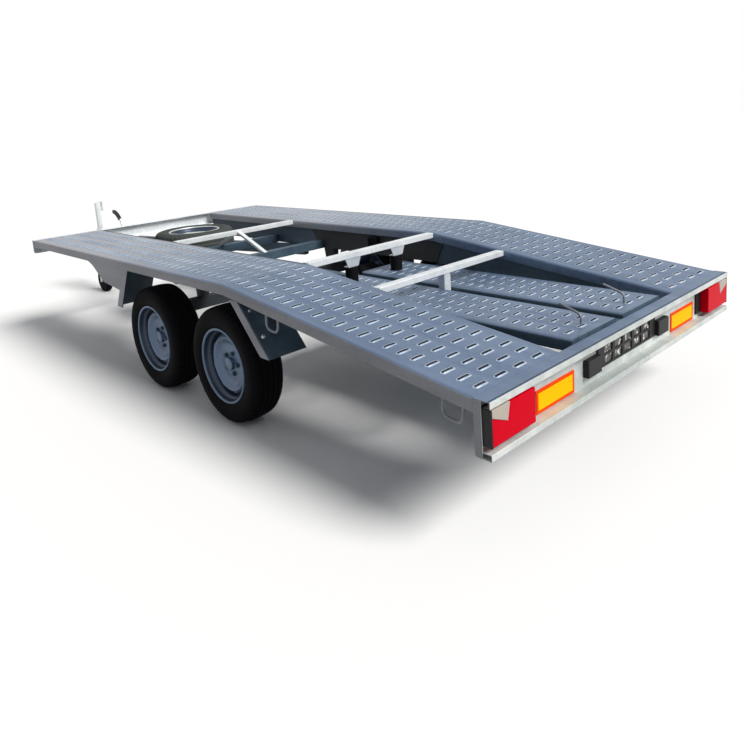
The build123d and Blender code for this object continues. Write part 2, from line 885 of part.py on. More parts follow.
# Overrun housing on a plate across the drawbar tubes' front ends, with ears for the brake lever
lever_x = front_x - lever_setback
housing_top = drawbar_middle + housing_height / 2
with BuildPart() as overrun:
    with BuildSketch(Plane.YZ.offset(housing_start)):
        with Locations((0, drawbar_middle)):
            Rectangle(2 * (drawbar_spread + drawbar_width), housing_height)
    extrude(amount=housing_plate)
    with BuildSketch(Plane.YZ.offset(housing_start + housing_plate)):
        with Locations((0, drawbar_middle)):
            RectangleRounded(housing_width, housing_height, housing_corner)
    extrude(amount=housing_length - housing_plate)
    for side_name, side in sides:
        ear_y = side * (lever_thickness / 2 + fit_gap)
        high, width = span(ear_y, ear_y + side * ear_plate)
        with BuildSketch(Plane.XZ.offset(-high)):
            with Locations((lever_x, housing_top)):
                Rectangle(ear_length, ear_height, align=(Align.CENTER, Align.MIN))
        extrude(amount=width)
write(overrun, "overrun_housing")

# Brake lever and its grip: two bands on one arc that leans forward
lever_centre = (lever_x + lever_radius, housing_top + ear_height / 2)


def arc_band(y, width, start_angle, end_angle):
    """Part of a ring round the lever's centre, standing in the plane at y."""
    turn = end_angle - start_angle
    with BuildSketch(Plane.XZ.offset(-y)) as band:
        with BuildLine():
            outer_arc = CenterArc(lever_centre, lever_radius + width / 2, start_angle, turn)
            inner_arc = CenterArc(lever_centre, lever_radius - width / 2, start_angle, turn)
            Line(outer_arc @ 0, inner_arc @ 0)
            Line(outer_arc @ 1, inner_arc @ 1)
        make_face()
    return band.sketch


with BuildPart() as lever:
    lever_band = arc_band(lever_thickness / 2, lever_bar, lever_foot_angle, lever_grip_angle)
    extrude(lever_band, amount=lever_thickness)
write(lever, "brake_lever")
with BuildPart() as grip:
    grip_band = arc_band(grip_thickness / 2, grip_bar, lever_grip_angle, lever_top_angle)
    extrude(grip_band, amount=grip_thickness)
write(grip, "lever_grip")

# Bellows round the hidden draw tube, coupling head with its ball socket, and the head's handle
coupling_start = front_x - coupling_length
with BuildPart() as bellows:
    with BuildSketch(Plane.YZ.offset(housing_end)):
        with Locations((0, drawbar_middle)):
            Circle(bellows_radius)
    extrude(amount=bellows_length)
write(bellows, "bellows")
with BuildPart() as coupling:
    with BuildSketch(Plane.YZ.offset(coupling_start)):
        with Locations((0, drawbar_middle)):
            head = Rectangle(coupling_width, coupling_height)
        chamfer(head.vertices(), coupling_corner)
    extrude(amount=coupling_length)
    ball_x = front_x - ball_setback
    with BuildSketch(Plane.XY.offset(drawbar_middle - coupling_height / 2)):
        with Locations((ball_x, 0)):
            Circle(ball_radius + fit_gap)
    extrude(amount=socket_depth, mode=Mode.SUBTRACT)
write(coupling, "coupling_head")
coupling_top = drawbar_middle + coupling_height / 2
with BuildPart() as coupling_handle:
    handle_foot = coupling_start + handle_run
    outline = (
        (handle_foot - coupling_corner, coupling_top),
        (handle_foot, coupling_top),
        (handle_foot, coupling_top + handle_thickness),
        (coupling_start + handle_thickness, coupling_top + handle_height),
        (coupling_start, coupling_top + handle_height - handle_thickness),
    )
    extrude(side_face(outline, handle_width / 2), amount=handle_width)
write(coupling_handle, "coupling_handle")

# Jockey wheel: clamp and outer tube beside the housing, crank, inner leg, fork and wheel
jockey_x = front_x - jockey_setback
jockey_y = housing_width / 2 + clamp_wall + fit_gap + jockey_radius
jockey_place = Location((jockey_x, jockey_y))
clamp_reach = jockey_radius + fit_gap + clamp_wall
with BuildPart() as clamp:
    with BuildSketch(Plane.XY.offset(drawbar_middle - clamp_height / 2)):
        with Locations(jockey_place):
            Rectangle(2 * clamp_reach, 2 * clamp_reach)
            Circle(jockey_radius + fit_gap, mode=Mode.SUBTRACT)
    extrude(amount=clamp_height)
write(clamp, "jockey_clamp")
with BuildPart() as jockey_tube:
    with BuildSketch(Plane.XY.offset(jockey_foot)):
        with Locations(jockey_place):
            Circle(jockey_radius)
    extrude(amount=jockey_top - jockey_foot)
    with BuildSketch(Plane.XY.offset(jockey_foot)):
        with Locations(jockey_place):
            Circle(leg_radius + running_gap)
    extrude(amount=jockey_top - jockey_foot - jockey_cap, mode=Mode.SUBTRACT)
write(jockey_tube, "jockey_tube")
crank_plane = Plane(
    origin=(jockey_x, jockey_y, jockey_top),
    x_dir=(cos(radians(crank_turn)), sin(radians(crank_turn)), 0),
    z_dir=(0, 0, 1),
)
with BuildPart() as crank:
    with BuildSketch(crank_plane):
        with Locations((crank_reach / 2, 0)):
            Rectangle(crank_reach + 2 * crank_rod, 2 * crank_rod)
    extrude(amount=crank_rod)
    with BuildSketch(crank_plane):
        with Locations((crank_reach, 0)):
            Rectangle(2 * crank_rod, 2 * crank_rod)
    extrude(amount=-crank_grip)
write(crank, "jockey_crank")
crown_top = crown_height + fork_crown
with BuildPart() as jockey_leg:
    with BuildSketch(Plane.XY.offset(crown_top + fit_gap)):
        with Locations(jockey_place):
            Circle(leg_radius)
    extrude(amount=leg_length)
    with BuildSketch(Plane.XY.offset(crown_height)):
        with Locations(jockey_place):
            Circle(swivel_radius)
    extrude(amount=fork_crown + fit_gap)
write(jockey_leg, "jockey_leg")
wheel_x = jockey_x + jockey_trail
fork_inner = jockey_wheel_width / 2 + fork_clearance
fork_outer = fork_inner + fork_plate
with BuildPart() as fork:
    with BuildSketch(Plane.XY.offset(crown_height)):
        with Locations((jockey_x - crown_overhang, jockey_y)):
            Rectangle(jockey_trail + 2 * crown_overhang, 2 * fork_outer, align=(Align.MIN, Align.CENTER))
        with Locations(jockey_place):
            Circle(swivel_radius + running_gap, mode=Mode.SUBTRACT)
    extrude(amount=fork_crown)
    for side_name, side in sides:
        high, width = span(jockey_y + side * fork_inner, jockey_y + side * fork_outer)
        leg_outline = (
            (jockey_x - crown_overhang, crown_height),
            (wheel_x + crown_overhang, crown_height),
            (wheel_x + fork_foot, jockey_wheel_radius - fork_foot),
            (wheel_x - fork_foot, jockey_wheel_radius - fork_foot),
        )
        extrude(side_face(leg_outline, high), amount=width)
    with BuildSketch(Plane.XZ.offset(-(jockey_y + fork_outer))):
        with Locations((wheel_x, jockey_wheel_radius)):
            Circle(pin_radius)
    extrude(amount=2 * fork_outer)
write(fork, "jockey_fork")
with BuildPart() as jockey_wheel:
    with BuildSketch(Plane.XZ.offset(-(jockey_y + jockey_wheel_width / 2))):
        with Locations((wheel_x, jockey_wheel_radius)):
            Circle(jockey_wheel_radius)
            Circle(pin_radius + running_gap, mode=Mode.SUBTRACT)
    extrude(amount=jockey_wheel_width)
write(jockey_wheel, "jockey_wheel")

# Spare wheel lying flat between the tracks, held down on a plate that bridges the drawbar tubes
spare_x = along(deck_end - spare_setback)
spare_low = front_deck_height - spare_depth - tyre_width
spare_origin = (spare_x, 0, spare_low + tyre_width / 2)
spare_disc = spare_origin[2] + disc_face


def tube_inside(x):
    """Distance of a drawbar tube's inner face from the middle of the trailer."""
    return root_y - (x - root_x) * sin(bar_turn) / cos(bar_turn) - drawbar_width / 2 / cos(bar_turn)


with BuildPart() as spare_carrier:
    with BuildSketch(Plane.XY.offset(spare_low - spare_plate)):
        with BuildLine():
            ends = (spare_x - member_width / 2, spare_x + member_width / 2)
            near = [(x, tube_inside(x)) for x in ends]
            Polyline(*near, *[(x, -y) for x, y in reversed(near)], close=True)
        make_face()
    extrude(amount=spare_plate)
    with BuildSketch(Plane.XY.offset(spare_low)):
        with Locations((spare_x, 0)):
            Circle(spare_stud)
    extrude(amount=spare_disc - spare_low)
    with BuildSketch(Plane.XY.offset(spare_disc)):
        with Locations((spare_x, 0)):
            Circle(spare_nut)
    extrude(amount=spare_plate)
write(spare_carrier, "spare_carrier")


def flat_section(points):
    """Half section of the spare wheel as (radius, height) points about its upright axis."""
    with BuildSketch(Plane(origin=spare_origin, x_dir=(1, 0, 0), z_dir=(0, -1, 0))) as half:
        with BuildLine():
            Polyline(*points, close=True)
        make_face()
    return half.sketch


spare_spin = Axis(spare_origin, (0, 0, 1))
with BuildPart() as spare_tyre:
    revolve(flat_section(spare_tyre_profile), axis=spare_spin)
write(spare_tyre, "spare_tyre")
with BuildPart() as spare_rim:
    revolve(flat_section(spare_rim_profile), axis=spare_spin)
write(spare_rim, "spare_rim")
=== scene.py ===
from math import cos, pi, radians, sin

import bmesh
import bpy
import numpy as np
from bpy.props import FloatProperty, FloatVectorProperty, IntProperty, PointerProperty
from bpy.types import Operator, Panel, PropertyGroup
from mathutils import Matrix, Vector


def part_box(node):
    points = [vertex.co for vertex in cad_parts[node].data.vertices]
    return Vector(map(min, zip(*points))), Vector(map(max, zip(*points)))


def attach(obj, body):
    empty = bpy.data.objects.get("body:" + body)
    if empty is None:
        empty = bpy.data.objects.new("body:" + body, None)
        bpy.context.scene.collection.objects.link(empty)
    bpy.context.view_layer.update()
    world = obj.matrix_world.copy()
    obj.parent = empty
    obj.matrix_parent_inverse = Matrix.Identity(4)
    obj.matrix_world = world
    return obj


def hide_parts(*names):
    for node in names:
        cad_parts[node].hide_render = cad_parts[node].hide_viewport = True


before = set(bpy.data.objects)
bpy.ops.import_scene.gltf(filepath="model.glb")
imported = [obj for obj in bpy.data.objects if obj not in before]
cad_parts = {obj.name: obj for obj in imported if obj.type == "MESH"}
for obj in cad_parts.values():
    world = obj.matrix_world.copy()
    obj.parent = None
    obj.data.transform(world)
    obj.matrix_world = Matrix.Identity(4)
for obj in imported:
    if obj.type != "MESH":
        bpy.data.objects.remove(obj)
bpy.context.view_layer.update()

bl_info = {
    "name": "Car transport trailer",
    "version": (1, 0, 0),
    "blender": (4, 5, 0),
    "location": "View3D > Sidebar > Trailer",
    "description": "Dresses the packed trailer with slotted tread plates, wheels, lamps and finishes",
    "category": "Object",
}

CORNERS = ("rear_left", "rear_right", "front_left", "front_right")
SIDES = (("left", 1), ("right", -1))
ALONG, ACROSS, UP = np.eye(3)


def length(name, description, default):
    """A property that holds a length in metres."""
    return FloatProperty(name=name, description=description, default=default, unit="LENGTH", precision=4)


def colour(name, description, default):
    """A property that holds a linear colour."""
    return FloatVectorProperty(
        name=name, description=description, default=default, subtype="COLOR", size=3, min=0.0, max=1.0
    )


class TreadSettings(PropertyGroup):
    """Sizes of the slotted sheets."""

    pitch: length("Track row pitch", "Distance from one row of slots to the next on a track", 0.070)
    slot_length: length("Track slot length", "Length of a track's slot across the trailer", 0.062)
    columns: IntProperty(name="Track columns", description="Slots side by side on a track", default=4, min=1)
    column_pitch: length("Track column pitch", "Distance between the slots of one row on a track", 0.114)
    ramp_pitch: length("Ramp row pitch", "Distance from one row of slots to the next on a ramp", 0.0635)
    ramp_slot_length: length("Ramp slot length", "Length of a ramp's slot across the trailer", 0.050)
    ramp_columns: IntProperty(name="Ramp columns", description="Slots side by side on a ramp", default=3, min=1)
    ramp_column_pitch: length("Ramp column pitch", "Distance between the slots of one row on a ramp", 0.100)
    slot_width: length("Slot width", "Width of a slot", 0.013)
    lip_height: length("Lip height", "How far a slot's drawn-up lips stand above the sheet", 0.0042)
    lip_width: length("Lip width", "Width of the drawn-up lip beside a slot", 0.0055)
    sheet: length("Sheet", "Thickness of the sheet", 0.004)
    bend: length("Bend radius", "Outer radius of the folds along the edges", 0.012)


class FinishSettings(PropertyGroup):
    """Colours of the finishes."""

    # Deck zinc: the zinc's own weathered patches, tinted blue as a painted reflection of the sky on the top faces.
    deck_light: colour("Deck zinc, light", "Bright patches of the deck's weathered zinc with painted sky reflection", (0.145, 0.205, 0.310))
    deck_dark: colour("Deck zinc, dark", "Dull patches of the deck's weathered zinc with painted sky reflection", (0.070, 0.115, 0.200))
    dust: colour("Deck dust", "Dry dust that greys the deck towards the front", (0.33, 0.335, 0.355))
    # Flank zinc: a darker copy of the zinc, painted shade for upright outer sides that face away from the light.
    flank_light: colour("Flank zinc, light", "Bright patches of upright outer sides", (0.23, 0.24, 0.265))
    flank_dark: colour("Flank zinc, dark", "Dull patches of upright outer sides", (0.12, 0.13, 0.15))
    # Beam zinc: a dark copy of the zinc, painted shade for the beams and parts under and beside the deck.
    beam_light: colour("Beam zinc, light", "Bright patches of the sheltered beams", (0.060, 0.105, 0.150))
    beam_dark: colour("Beam zinc, dark", "Dull patches of the sheltered beams", (0.026, 0.048, 0.072))
    # Slot lips: a lighter copy of the zinc, a painted highlight where the raised lips catch the light.
    lip_light: colour("Slot lips, light", "Bright patches of the lips' painted highlight", (0.42, 0.50, 0.61))
    lip_dark: colour("Slot lips, dark", "Dull patches of the rubbed lips", (0.22, 0.28, 0.37))
    # Sunlit zinc: a near-white copy of the zinc, painted light for the bars, the front beam and the drawbar parts; the
    # guard bolts use the same colours.
    bright_light: colour("Lit zinc, light", "Bright patches of the lit-painted zinc on the bars", (0.82, 0.85, 0.87))
    bright_dark: colour("Lit zinc, dark", "Dull patches of the lit-painted zinc", (0.62, 0.66, 0.68))
    # Rear zinc: a light copy of the zinc, painted light on the rear beam's faces that face the light.
    rear_light: colour("Rear zinc, light", "Bright patches of the rear beam's zinc", (0.66, 0.69, 0.67))
    rear_dark: colour("Rear zinc, dark", "Dull patches of the rear beam's zinc", (0.40, 0.44, 0.43))
    # Underside: a near-black copy of the zinc, painted shade for the axles and their carriers under the deck.
    under_light: colour("Underside, light", "Lighter painted shade on the axles and their carriers", (0.020, 0.026, 0.032))
    under_dark: colour("Underside, dark", "Darker painted shade on the axles and their carriers", (0.006, 0.008, 0.010))
    # Slot walls: painted shade inside the slots and in the rear beam's groove.
    slot_wall: colour("Slot walls", "Painted shade on the inner walls of the slots", (0.012, 0.016, 0.024))
    rubber: colour("Tyre rubber", "Colour of the tyres", (0.0045, 0.0045, 0.0055))
    # Rim paint: the silver paint darkened and tinted blue as painted shade on the road wheels.
    rim: colour("Rim paint", "Silver paint of the steel wheels", (0.115, 0.175, 0.275))
    # Rim well: painted shade in the well of the rims and on the floors of the hand holes.
    rim_shade: colour("Rim well", "Dirty paint in the well of the steel wheels", (0.022, 0.038, 0.070))
    spare_rim: colour("Spare paint", "Dusty paint of the spare wheel", (0.52, 0.56, 0.54))
    spare_rubber: colour("Spare rubber", "Dusty rubber of the spare wheel", (0.045, 0.050, 0.048))
    red: colour("Lamp red", "Red of the rear lenses", (0.62, 0.001, 0.014))
    clear: colour("Lamp clear", "Clear window of the rear lenses", (0.46, 0.41, 0.36))
    amber: colour("Reflector amber", "Amber field of the marker plates", (0.98, 0.44, 0.001))
    border: colour("Reflector border", "Border of the marker plates", (0.72, 0.055, 0.003))
    plastic: colour("Black plastic", "Lamp housings, plate holder and grips", (0.006, 0.006, 0.007))
    # Plate sheet: a dark sheet of painted shade behind the lattice, its pale flecks painted highlights.
    plate_shade: colour("Plate sheet", "Sheet behind the plate holder's lattice", (0.060, 0.060, 0.058))
    plate_glint: colour("Plate flecks", "Pale flecks on that sheet", (0.62, 0.63, 0.60))


class StageSettings(PropertyGroup):
    """Camera, light and floor."""

    camera_place: FloatVectorProperty(
        name="Camera place", description="Where the camera stands", default=(-4.1153, 2.6133, 1.4683), unit="LENGTH"
    )
    yaw: FloatProperty(name="Yaw", description="Heading of the view", default=radians(-43.06), subtype="ANGLE")
    pitch: FloatProperty(
        name="Pitch", description="How far the view looks down", default=radians(9.82), subtype="ANGLE"
    )
    roll: FloatProperty(
        name="Roll", description="Turn of the camera about its view", default=radians(-4.08), subtype="ANGLE"
    )
    lens: FloatProperty(name="Lens", description="Focal length on a 36 mm sensor", default=32.39, unit="CAMERA")
    shift: FloatProperty(name="Shift", description="Upward shift as a share of the frame's width", default=-0.1754)
    floor: colour("Floor", "Pale floor", (0.98, 0.98, 0.98))
    bounce: colour("Floor bounce", "Floor as it lights the underside of the trailer", (0.30, 0.30, 0.31))
    sky: FloatProperty(name="Sky", description="Strength of the soft light from all round", default=0.26, min=0.0)
    sun: FloatProperty(name="Sun", description="Strength of the key light", default=3.9, min=0.0)
    sun_spread: FloatProperty(
        name="Sun spread", description="Angle over which the key light is spread", default=radians(24), subtype="ANGLE"
    )
    sun_from: FloatVectorProperty(
        name="Sun from", description="Direction from which the key light comes", default=(-0.74, -0.14, 0.66)
    )


def strip(rows, columns, wrap_rows=False, wrap_columns=False):
    """Quads of a grid: (i, j), (i+1, j), (i+1, j+1), (i, j+1), wrapping where asked."""
    i, j = np.meshgrid(
        np.arange(rows if wrap_rows else rows - 1), np.arange(columns if wrap_columns else columns - 1), indexing="ij"
    )
    below, right = (i + 1) % rows, (j + 1) % columns
    quads = np.stack((i * columns + j, below * columns + j, below * columns + right, i * columns + right), -1)
    return quads.reshape(-1, 4)


class Shell:
    """Points and faces gathered into one mesh, each face with the number of its finish."""

    def __init__(self):
        self.points = []
        self.faces = []
        self.finishes = []
        self.count = 0

    def add(self, points, *faces, finish=0):
        """Adds an array of points and face arrays that number those points from 0."""
        points = np.asarray(points, float).reshape(-1, 3)
        self.points.append(points)
        for group in faces:
            group = np.asarray(group)
            self.faces.append(group + self.count)
            self.finishes.append(np.broadcast_to(finish, len(group)))
        self.count += len(points)
        return self

    def join(self, other):
        """Adds all of another shell."""
        self.points += other.points
        self.faces += [group + self.count for group in other.faces]
        self.finishes += other.finishes
        self.count += other.count

    def mesh(self, name, *finishes):
        """One mesh with its finishes, doubles merged and faces turned outwards."""
        mesh = bpy.data.meshes.new(name)
        points = np.concatenate(self.points)
        sizes = np.concatenate([np.full(len(group), group.shape[1]) for group in self.faces])
        corners = np.concatenate([group.ravel() for group in self.faces])
        mesh.vertices.add(len(points))
        mesh.vertices.foreach_set("co", points.astype(np.float32).ravel())
        mesh.loops.add(len(corners))
        mesh.loops.foreach_set("vertex_index", corners.astype(np.int32))
        mesh.polygons.add(len(sizes))
        mesh.polygons.foreach_set("loop_start", (np.cumsum(sizes) - sizes).astype(np.int32))
        for finish in finishes:
            mesh.materials.append(finish)
        mesh.polygons.foreach_set("material_index", np.concatenate(self.finishes).astype(np.int32))
        mesh.update(calc_edges=True)
        mesh.validate()
        tidy(mesh)
        return mesh


def tidy(mesh, flat=False):
    """Merges doubles, joins flat neighbours where asked, and turns the faces outwards."""
    work = bmesh.new()
    work.from_mesh(mesh)
    bmesh.ops.remove_doubles(work, verts=work.verts, dist=2e-6)
    if flat:
        bmesh.ops.dissolve_limit(work, angle_limit=radians(0.5), verts=work.verts, edges=work.edges)
    bmesh.ops.recalc_face_normals(work, faces=work.faces)
    work.to_mesh(mesh)
    work.free()


def refinish(mesh, rule):
    """Sets each face's finish number by a rule on arrays of face normals, face middles and present numbers."""
    count = len(mesh.polygons)
    normals, middles = np.empty((2, count * 3), np.float32)
    numbers = np.empty(count, np.int32)
    mesh.polygons.foreach_get("normal", normals)
    mesh.polygons.foreach_get("center", middles)
    mesh.polygons.foreach_get("material_index", numbers)
    numbers = rule(normals.reshape(-1, 3), middles.reshape(-1, 3), numbers)
    mesh.polygons.foreach_set("material_index", np.asarray(numbers, np.int32))


def put(name, mesh, body, nodes=(), crease=32, bevel=None):
    """Shows a mesh as a piece that rides on a body and stands for CAD nodes."""
    mesh.polygons.foreach_set("use_smooth", np.ones(len(mesh.polygons), bool))
    mesh.set_sharp_from_angle(angle=radians(crease))
    piece = bpy.data.objects.new(name, mesh)
    bpy.context.scene.collection.objects.link(piece)
    if bevel:
        soften = piece.modifiers.new("rounded edges", "BEVEL")
        soften.width = bevel
        soften.segments = 2
        soften.limit_method = "ANGLE"
        soften.angle_limit = radians(40)
    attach(piece, body)
    if nodes:
        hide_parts(*nodes)
    return piece


def show(name, shell, finishes, body, nodes=(), crease=32, bevel=None):
    """Shows a shell as a piece with its finishes."""
    return put(name, shell.mesh(name, *finishes), body, nodes, crease, bevel)


def softened(node, finishes, body="chassis", bevel=0.0015, rule=None):
    """A merged copy of a CAD node with rounded edges, shown in its place."""
    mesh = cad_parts[node].data.copy()
    mesh.materials.clear()
    for finish in finishes:
        mesh.materials.append(finish)
    tidy(mesh, flat=True)
    if rule:
        refinish(mesh, rule)
    return put(f"{node}_finished", mesh, body, (node,), crease=30, bevel=bevel)


def swept(outline, stations):
    """A closed outline carried along a path: point (s, m) = station s + outline m, with both ends closed.
    The outline is an array of offsets and the stations are an array of places."""
    outline, stations = np.asarray(outline, float), np.asarray(stations, float)
    points = stations[:, None, :] + outline[None, :, :]
    rows, columns = points.shape[:2]
    ends = np.stack((np.arange(columns), np.arange(columns) + (rows - 1) * columns))
    return points, strip(rows, columns, wrap_columns=True), ends


def block(low, high):
    """A box between two corners: its (y, z) rectangle carried along x."""
    rectangle = ((0, low[1], low[2]), (0, high[1], low[2]), (0, high[1], high[2]), (0, low[1], high[2]))
    return swept(rectangle, ((low[0], 0, 0), (high[0], 0, 0)))


def lathe(profile, centre, axis, segments=96, closed=True):
    """A profile of (radius r, height h) turned about an axis: centre + r cos t e + r sin t f + h axis."""
    profile = np.asarray(profile, float)
    e, f = square_to(axis)
    t = np.arange(segments) * 2 * pi / segments
    ring = np.cos(t)[:, None] * e + np.sin(t)[:, None] * f
    points = np.asarray(centre) + profile[:, 0, None, None] * ring + profile[:, 1, None, None] * np.asarray(axis)
    return points, strip(len(profile), segments, wrap_rows=closed, wrap_columns=True)


def square_to(axis):
    """Two unit vectors square to an axis and to each other."""
    axis = np.asarray(axis, float)
    e = np.cross(axis, ALONG if abs(axis[0]) < 0.5 else UP)
    e /= np.linalg.norm(e)
    return e, np.cross(axis, e)


def tube(path, radius, normal, sides=14):
    """A round rod along a flat path: path + r cos t n + r sin t (n x tangent), with both ends closed."""
    path, normal = np.asarray(path, float), np.asarray(normal, float)
    tangent = np.gradient(path, axis=0)
    tangent /= np.linalg.norm(tangent, axis=1)[:, None]
    side = np.cross(normal, tangent)
    t = np.arange(sides) * 2 * pi / sides
    points = path[:, None] + radius * (np.cos(t)[:, None] * normal + np.sin(t)[None, :, None] * side[:, None])
    ends = np.stack((np.arange(sides), np.arange(sides) + (len(path) - 1) * sides))
    return points, strip(len(path), sides, wrap_columns=True), ends


def rounded_path(corners, radius, steps=9):
    """A path with round corners: each inner corner p becomes a parabola between p + r a and p + r b."""
    corners = np.asarray(corners, float)
    before, here, after = corners[:-2], corners[1:-1], corners[2:]
    a = (before - here) / np.linalg.norm(before - here, axis=1)[:, None] * radius
    b = (after - here) / np.linalg.norm(after - here, axis=1)[:, None] * radius
    u = np.linspace(0, 1, steps)[None, :, None]
    arcs = here[:, None] + a[:, None] * (1 - u) ** 2 + b[:, None] * u**2
    return np.concatenate((corners[:1], arcs.reshape(-1, corners.shape[1]), corners[-1:]))


def arc(centre, radius, start, end, steps=6):
    """Points centre + radius (cos t, sin t) from one angle to another, in degrees."""
    t = np.radians(np.linspace(start, end, steps))
    return np.stack((centre[0] + radius * np.cos(t), centre[1] + radius * np.sin(t)), -1)


def hex_heads(places, normal, size, height):
    """Hexagon heads on washers: rings of (radius, height) in twelve steps about each place's normal."""
    e, f = square_to(normal)
    t = np.arange(12) * pi / 6
    hexagon = np.where(np.arange(12) % 2 == 0, 1.0, cos(pi / 6))
    round_ring = np.ones(12)
    rings = np.array(((1.45, 0.0), (1.45, 0.16), (1.02, 0.18), (1.0, 0.9), (0.86, 1.0), (0.0, 1.0)))
    shape = np.stack((round_ring, round_ring, hexagon, hexagon, hexagon, hexagon))
    reach = rings[:, :1] * shape * size
    template = reach[:, :, None] * (np.cos(t)[:, None] * e + np.sin(t)[:, None] * f)
    template = template + (rings[:, 1] * height)[:, None, None] * np.asarray(normal)
    points = np.asarray(places, float)[:, None, None] + template[None]
    quads = strip(len(rings), 12, wrap_columns=True)
    starts = np.arange(len(points))[:, None, None] * len(rings) * 12
    return points, (quads[None] + starts).reshape(-1, 4)


def folded_edge(edge, turn, depth, stations, tread):
    """The fold along one edge of a sheet: a quarter bend and a flange, carried along the stations.
    The fold faces towards turn times Y; its outline runs over the bend, down the flange and back inside."""
    bend, sheet = tread.bend, tread.sheet
    fold = np.concatenate(
        (
            arc((-bend, -bend), bend, 90, 0),
            ((0, -depth), (-sheet, -depth)),
            arc((-bend, -bend), bend - sheet, 0, 90),
        )
    )
    outline = np.stack((np.zeros(len(fold)), edge + turn * fold[:, 0], fold[:, 1]), -1)
    return swept(outline, stations)


def slotted_sheet(field, columns, column_pitch, rows, pitch, slot_length, tread, height):
    """A sheet with rows of round-ended slots whose long sides are drawn up into lips.
    Each slot has six rings of 16 points: the cell's edge, the lip's foot and crest, the mouth, the mouth below and
    the cell's edge below. A slot ring is (r cos t, r sin t + s sign(sin t)) and its lip rises with |cos t|; the edge
    is the same ray on the cell's rectangle. height(x) lifts every point to the deck. field is (x0, x1, y0, y1).
    The sheet has finish 0, the lips 1 and the slot walls 2."""
    t = np.arange(16) * pi / 8
    c, s = np.cos(t), np.sin(t)
    end = np.sign(np.round(s, 6)) * (slot_length - tread.slot_width) / 2
    ray = 1 / np.maximum(np.abs(c), np.abs(s))
    edge = np.stack((c * ray * pitch / 2, s * ray * column_pitch / 2), -1)
    mouth = tread.slot_width / 2
    radii = np.array((mouth + tread.lip_width, mouth + 0.25 * tread.lip_width, mouth, mouth))
    slots = np.stack((radii[:, None] * c, radii[:, None] * s + end), -1)
    flat = np.concatenate((edge[None], slots, edge[None]))
    rise = tread.lip_height * np.abs(c) ** 1.5
    shares = np.array((0.0, 0.0, 1.0, 0.8, 0.0, 0.0))
    drops = np.array((0.0, 0.0, 0.0, 0.0, tread.sheet, tread.sheet))
    levels = shares[:, None] * rise - drops[:, None]
    x0, x1, y0, y1 = field
    xs = (x0 + x1) / 2 + (np.arange(rows) - (rows - 1) / 2) * pitch
    ys = (y0 + y1) / 2 + (np.arange(columns) - (columns - 1) / 2) * column_pitch
    cx, cy = np.meshgrid(xs, ys, indexing="ij")
    centres = np.stack((cx.ravel(), cy.ravel()), -1)
    plan = centres[:, None, None] + flat[None]
    points = np.concatenate((plan, np.broadcast_to(levels[None, :, :, None], plan.shape[:3] + (1,))), -1)
    points[..., 2] += height(points[..., 0])
    quads = strip(6, 16, wrap_columns=True)
    starts = np.arange(len(centres))[:, None, None] * flat[..., 0].size
    # Lips get finish 1, a painted highlight; slot walls get finish 2, painted shade.
    bands = np.repeat((0, 1, 1, 2, 0), 16)
    shell = Shell().add(points, (quads[None] + starts).reshape(-1, 4), finish=np.tile(bands, len(centres)))
    block = (xs[0] - pitch / 2, xs[-1] + pitch / 2, ys[0] - column_pitch / 2, ys[-1] + column_pitch / 2)
    corners = [(rect[i], rect[j]) for rect in (field, block) for i, j in ((0, 2), (1, 2), (1, 3), (0, 3))]
    levels = np.repeat((0.0, -tread.sheet), len(corners))
    margin = np.column_stack((np.tile(corners, (2, 1)), levels))
    margin[:, 2] += height(margin[:, 0])
    k = np.arange(4)
    n = (k + 1) % 4
    top = np.stack((k, n, n + 4, k + 4), -1)
    wall = np.stack((k, n, n + 8, k + 8), -1)
    return shell.add(margin, top, top + 8, wall)


class Socket:
    """A shader value: an expression on values adds its Math nodes."""

    def __init__(self, finish, link):
        self.finish = finish
        self.link = link

    def _math(self, operation, first, second=0.0):
        return self.finish.node("ShaderNodeMath", {"operation": operation}, {0: first, 1: second})

    def __add__(self, other):
        return self._math("ADD", self, other)

    def __sub__(self, other):
        return self._math("SUBTRACT", self, other)

    def __rsub__(self, other):
        return self._math("SUBTRACT", other, self)

    def __mul__(self, other):
        return self._math("MULTIPLY", self, other)

    def __gt__(self, other):
        return self._math("GREATER_THAN", self, other)

    def __abs__(self):
        return self._math("ABSOLUTE", self)

    def larger(self, other):
        """The larger of two values."""
        return self._math("MAXIMUM", self, other)

    __radd__ = __add__
    __rmul__ = __mul__


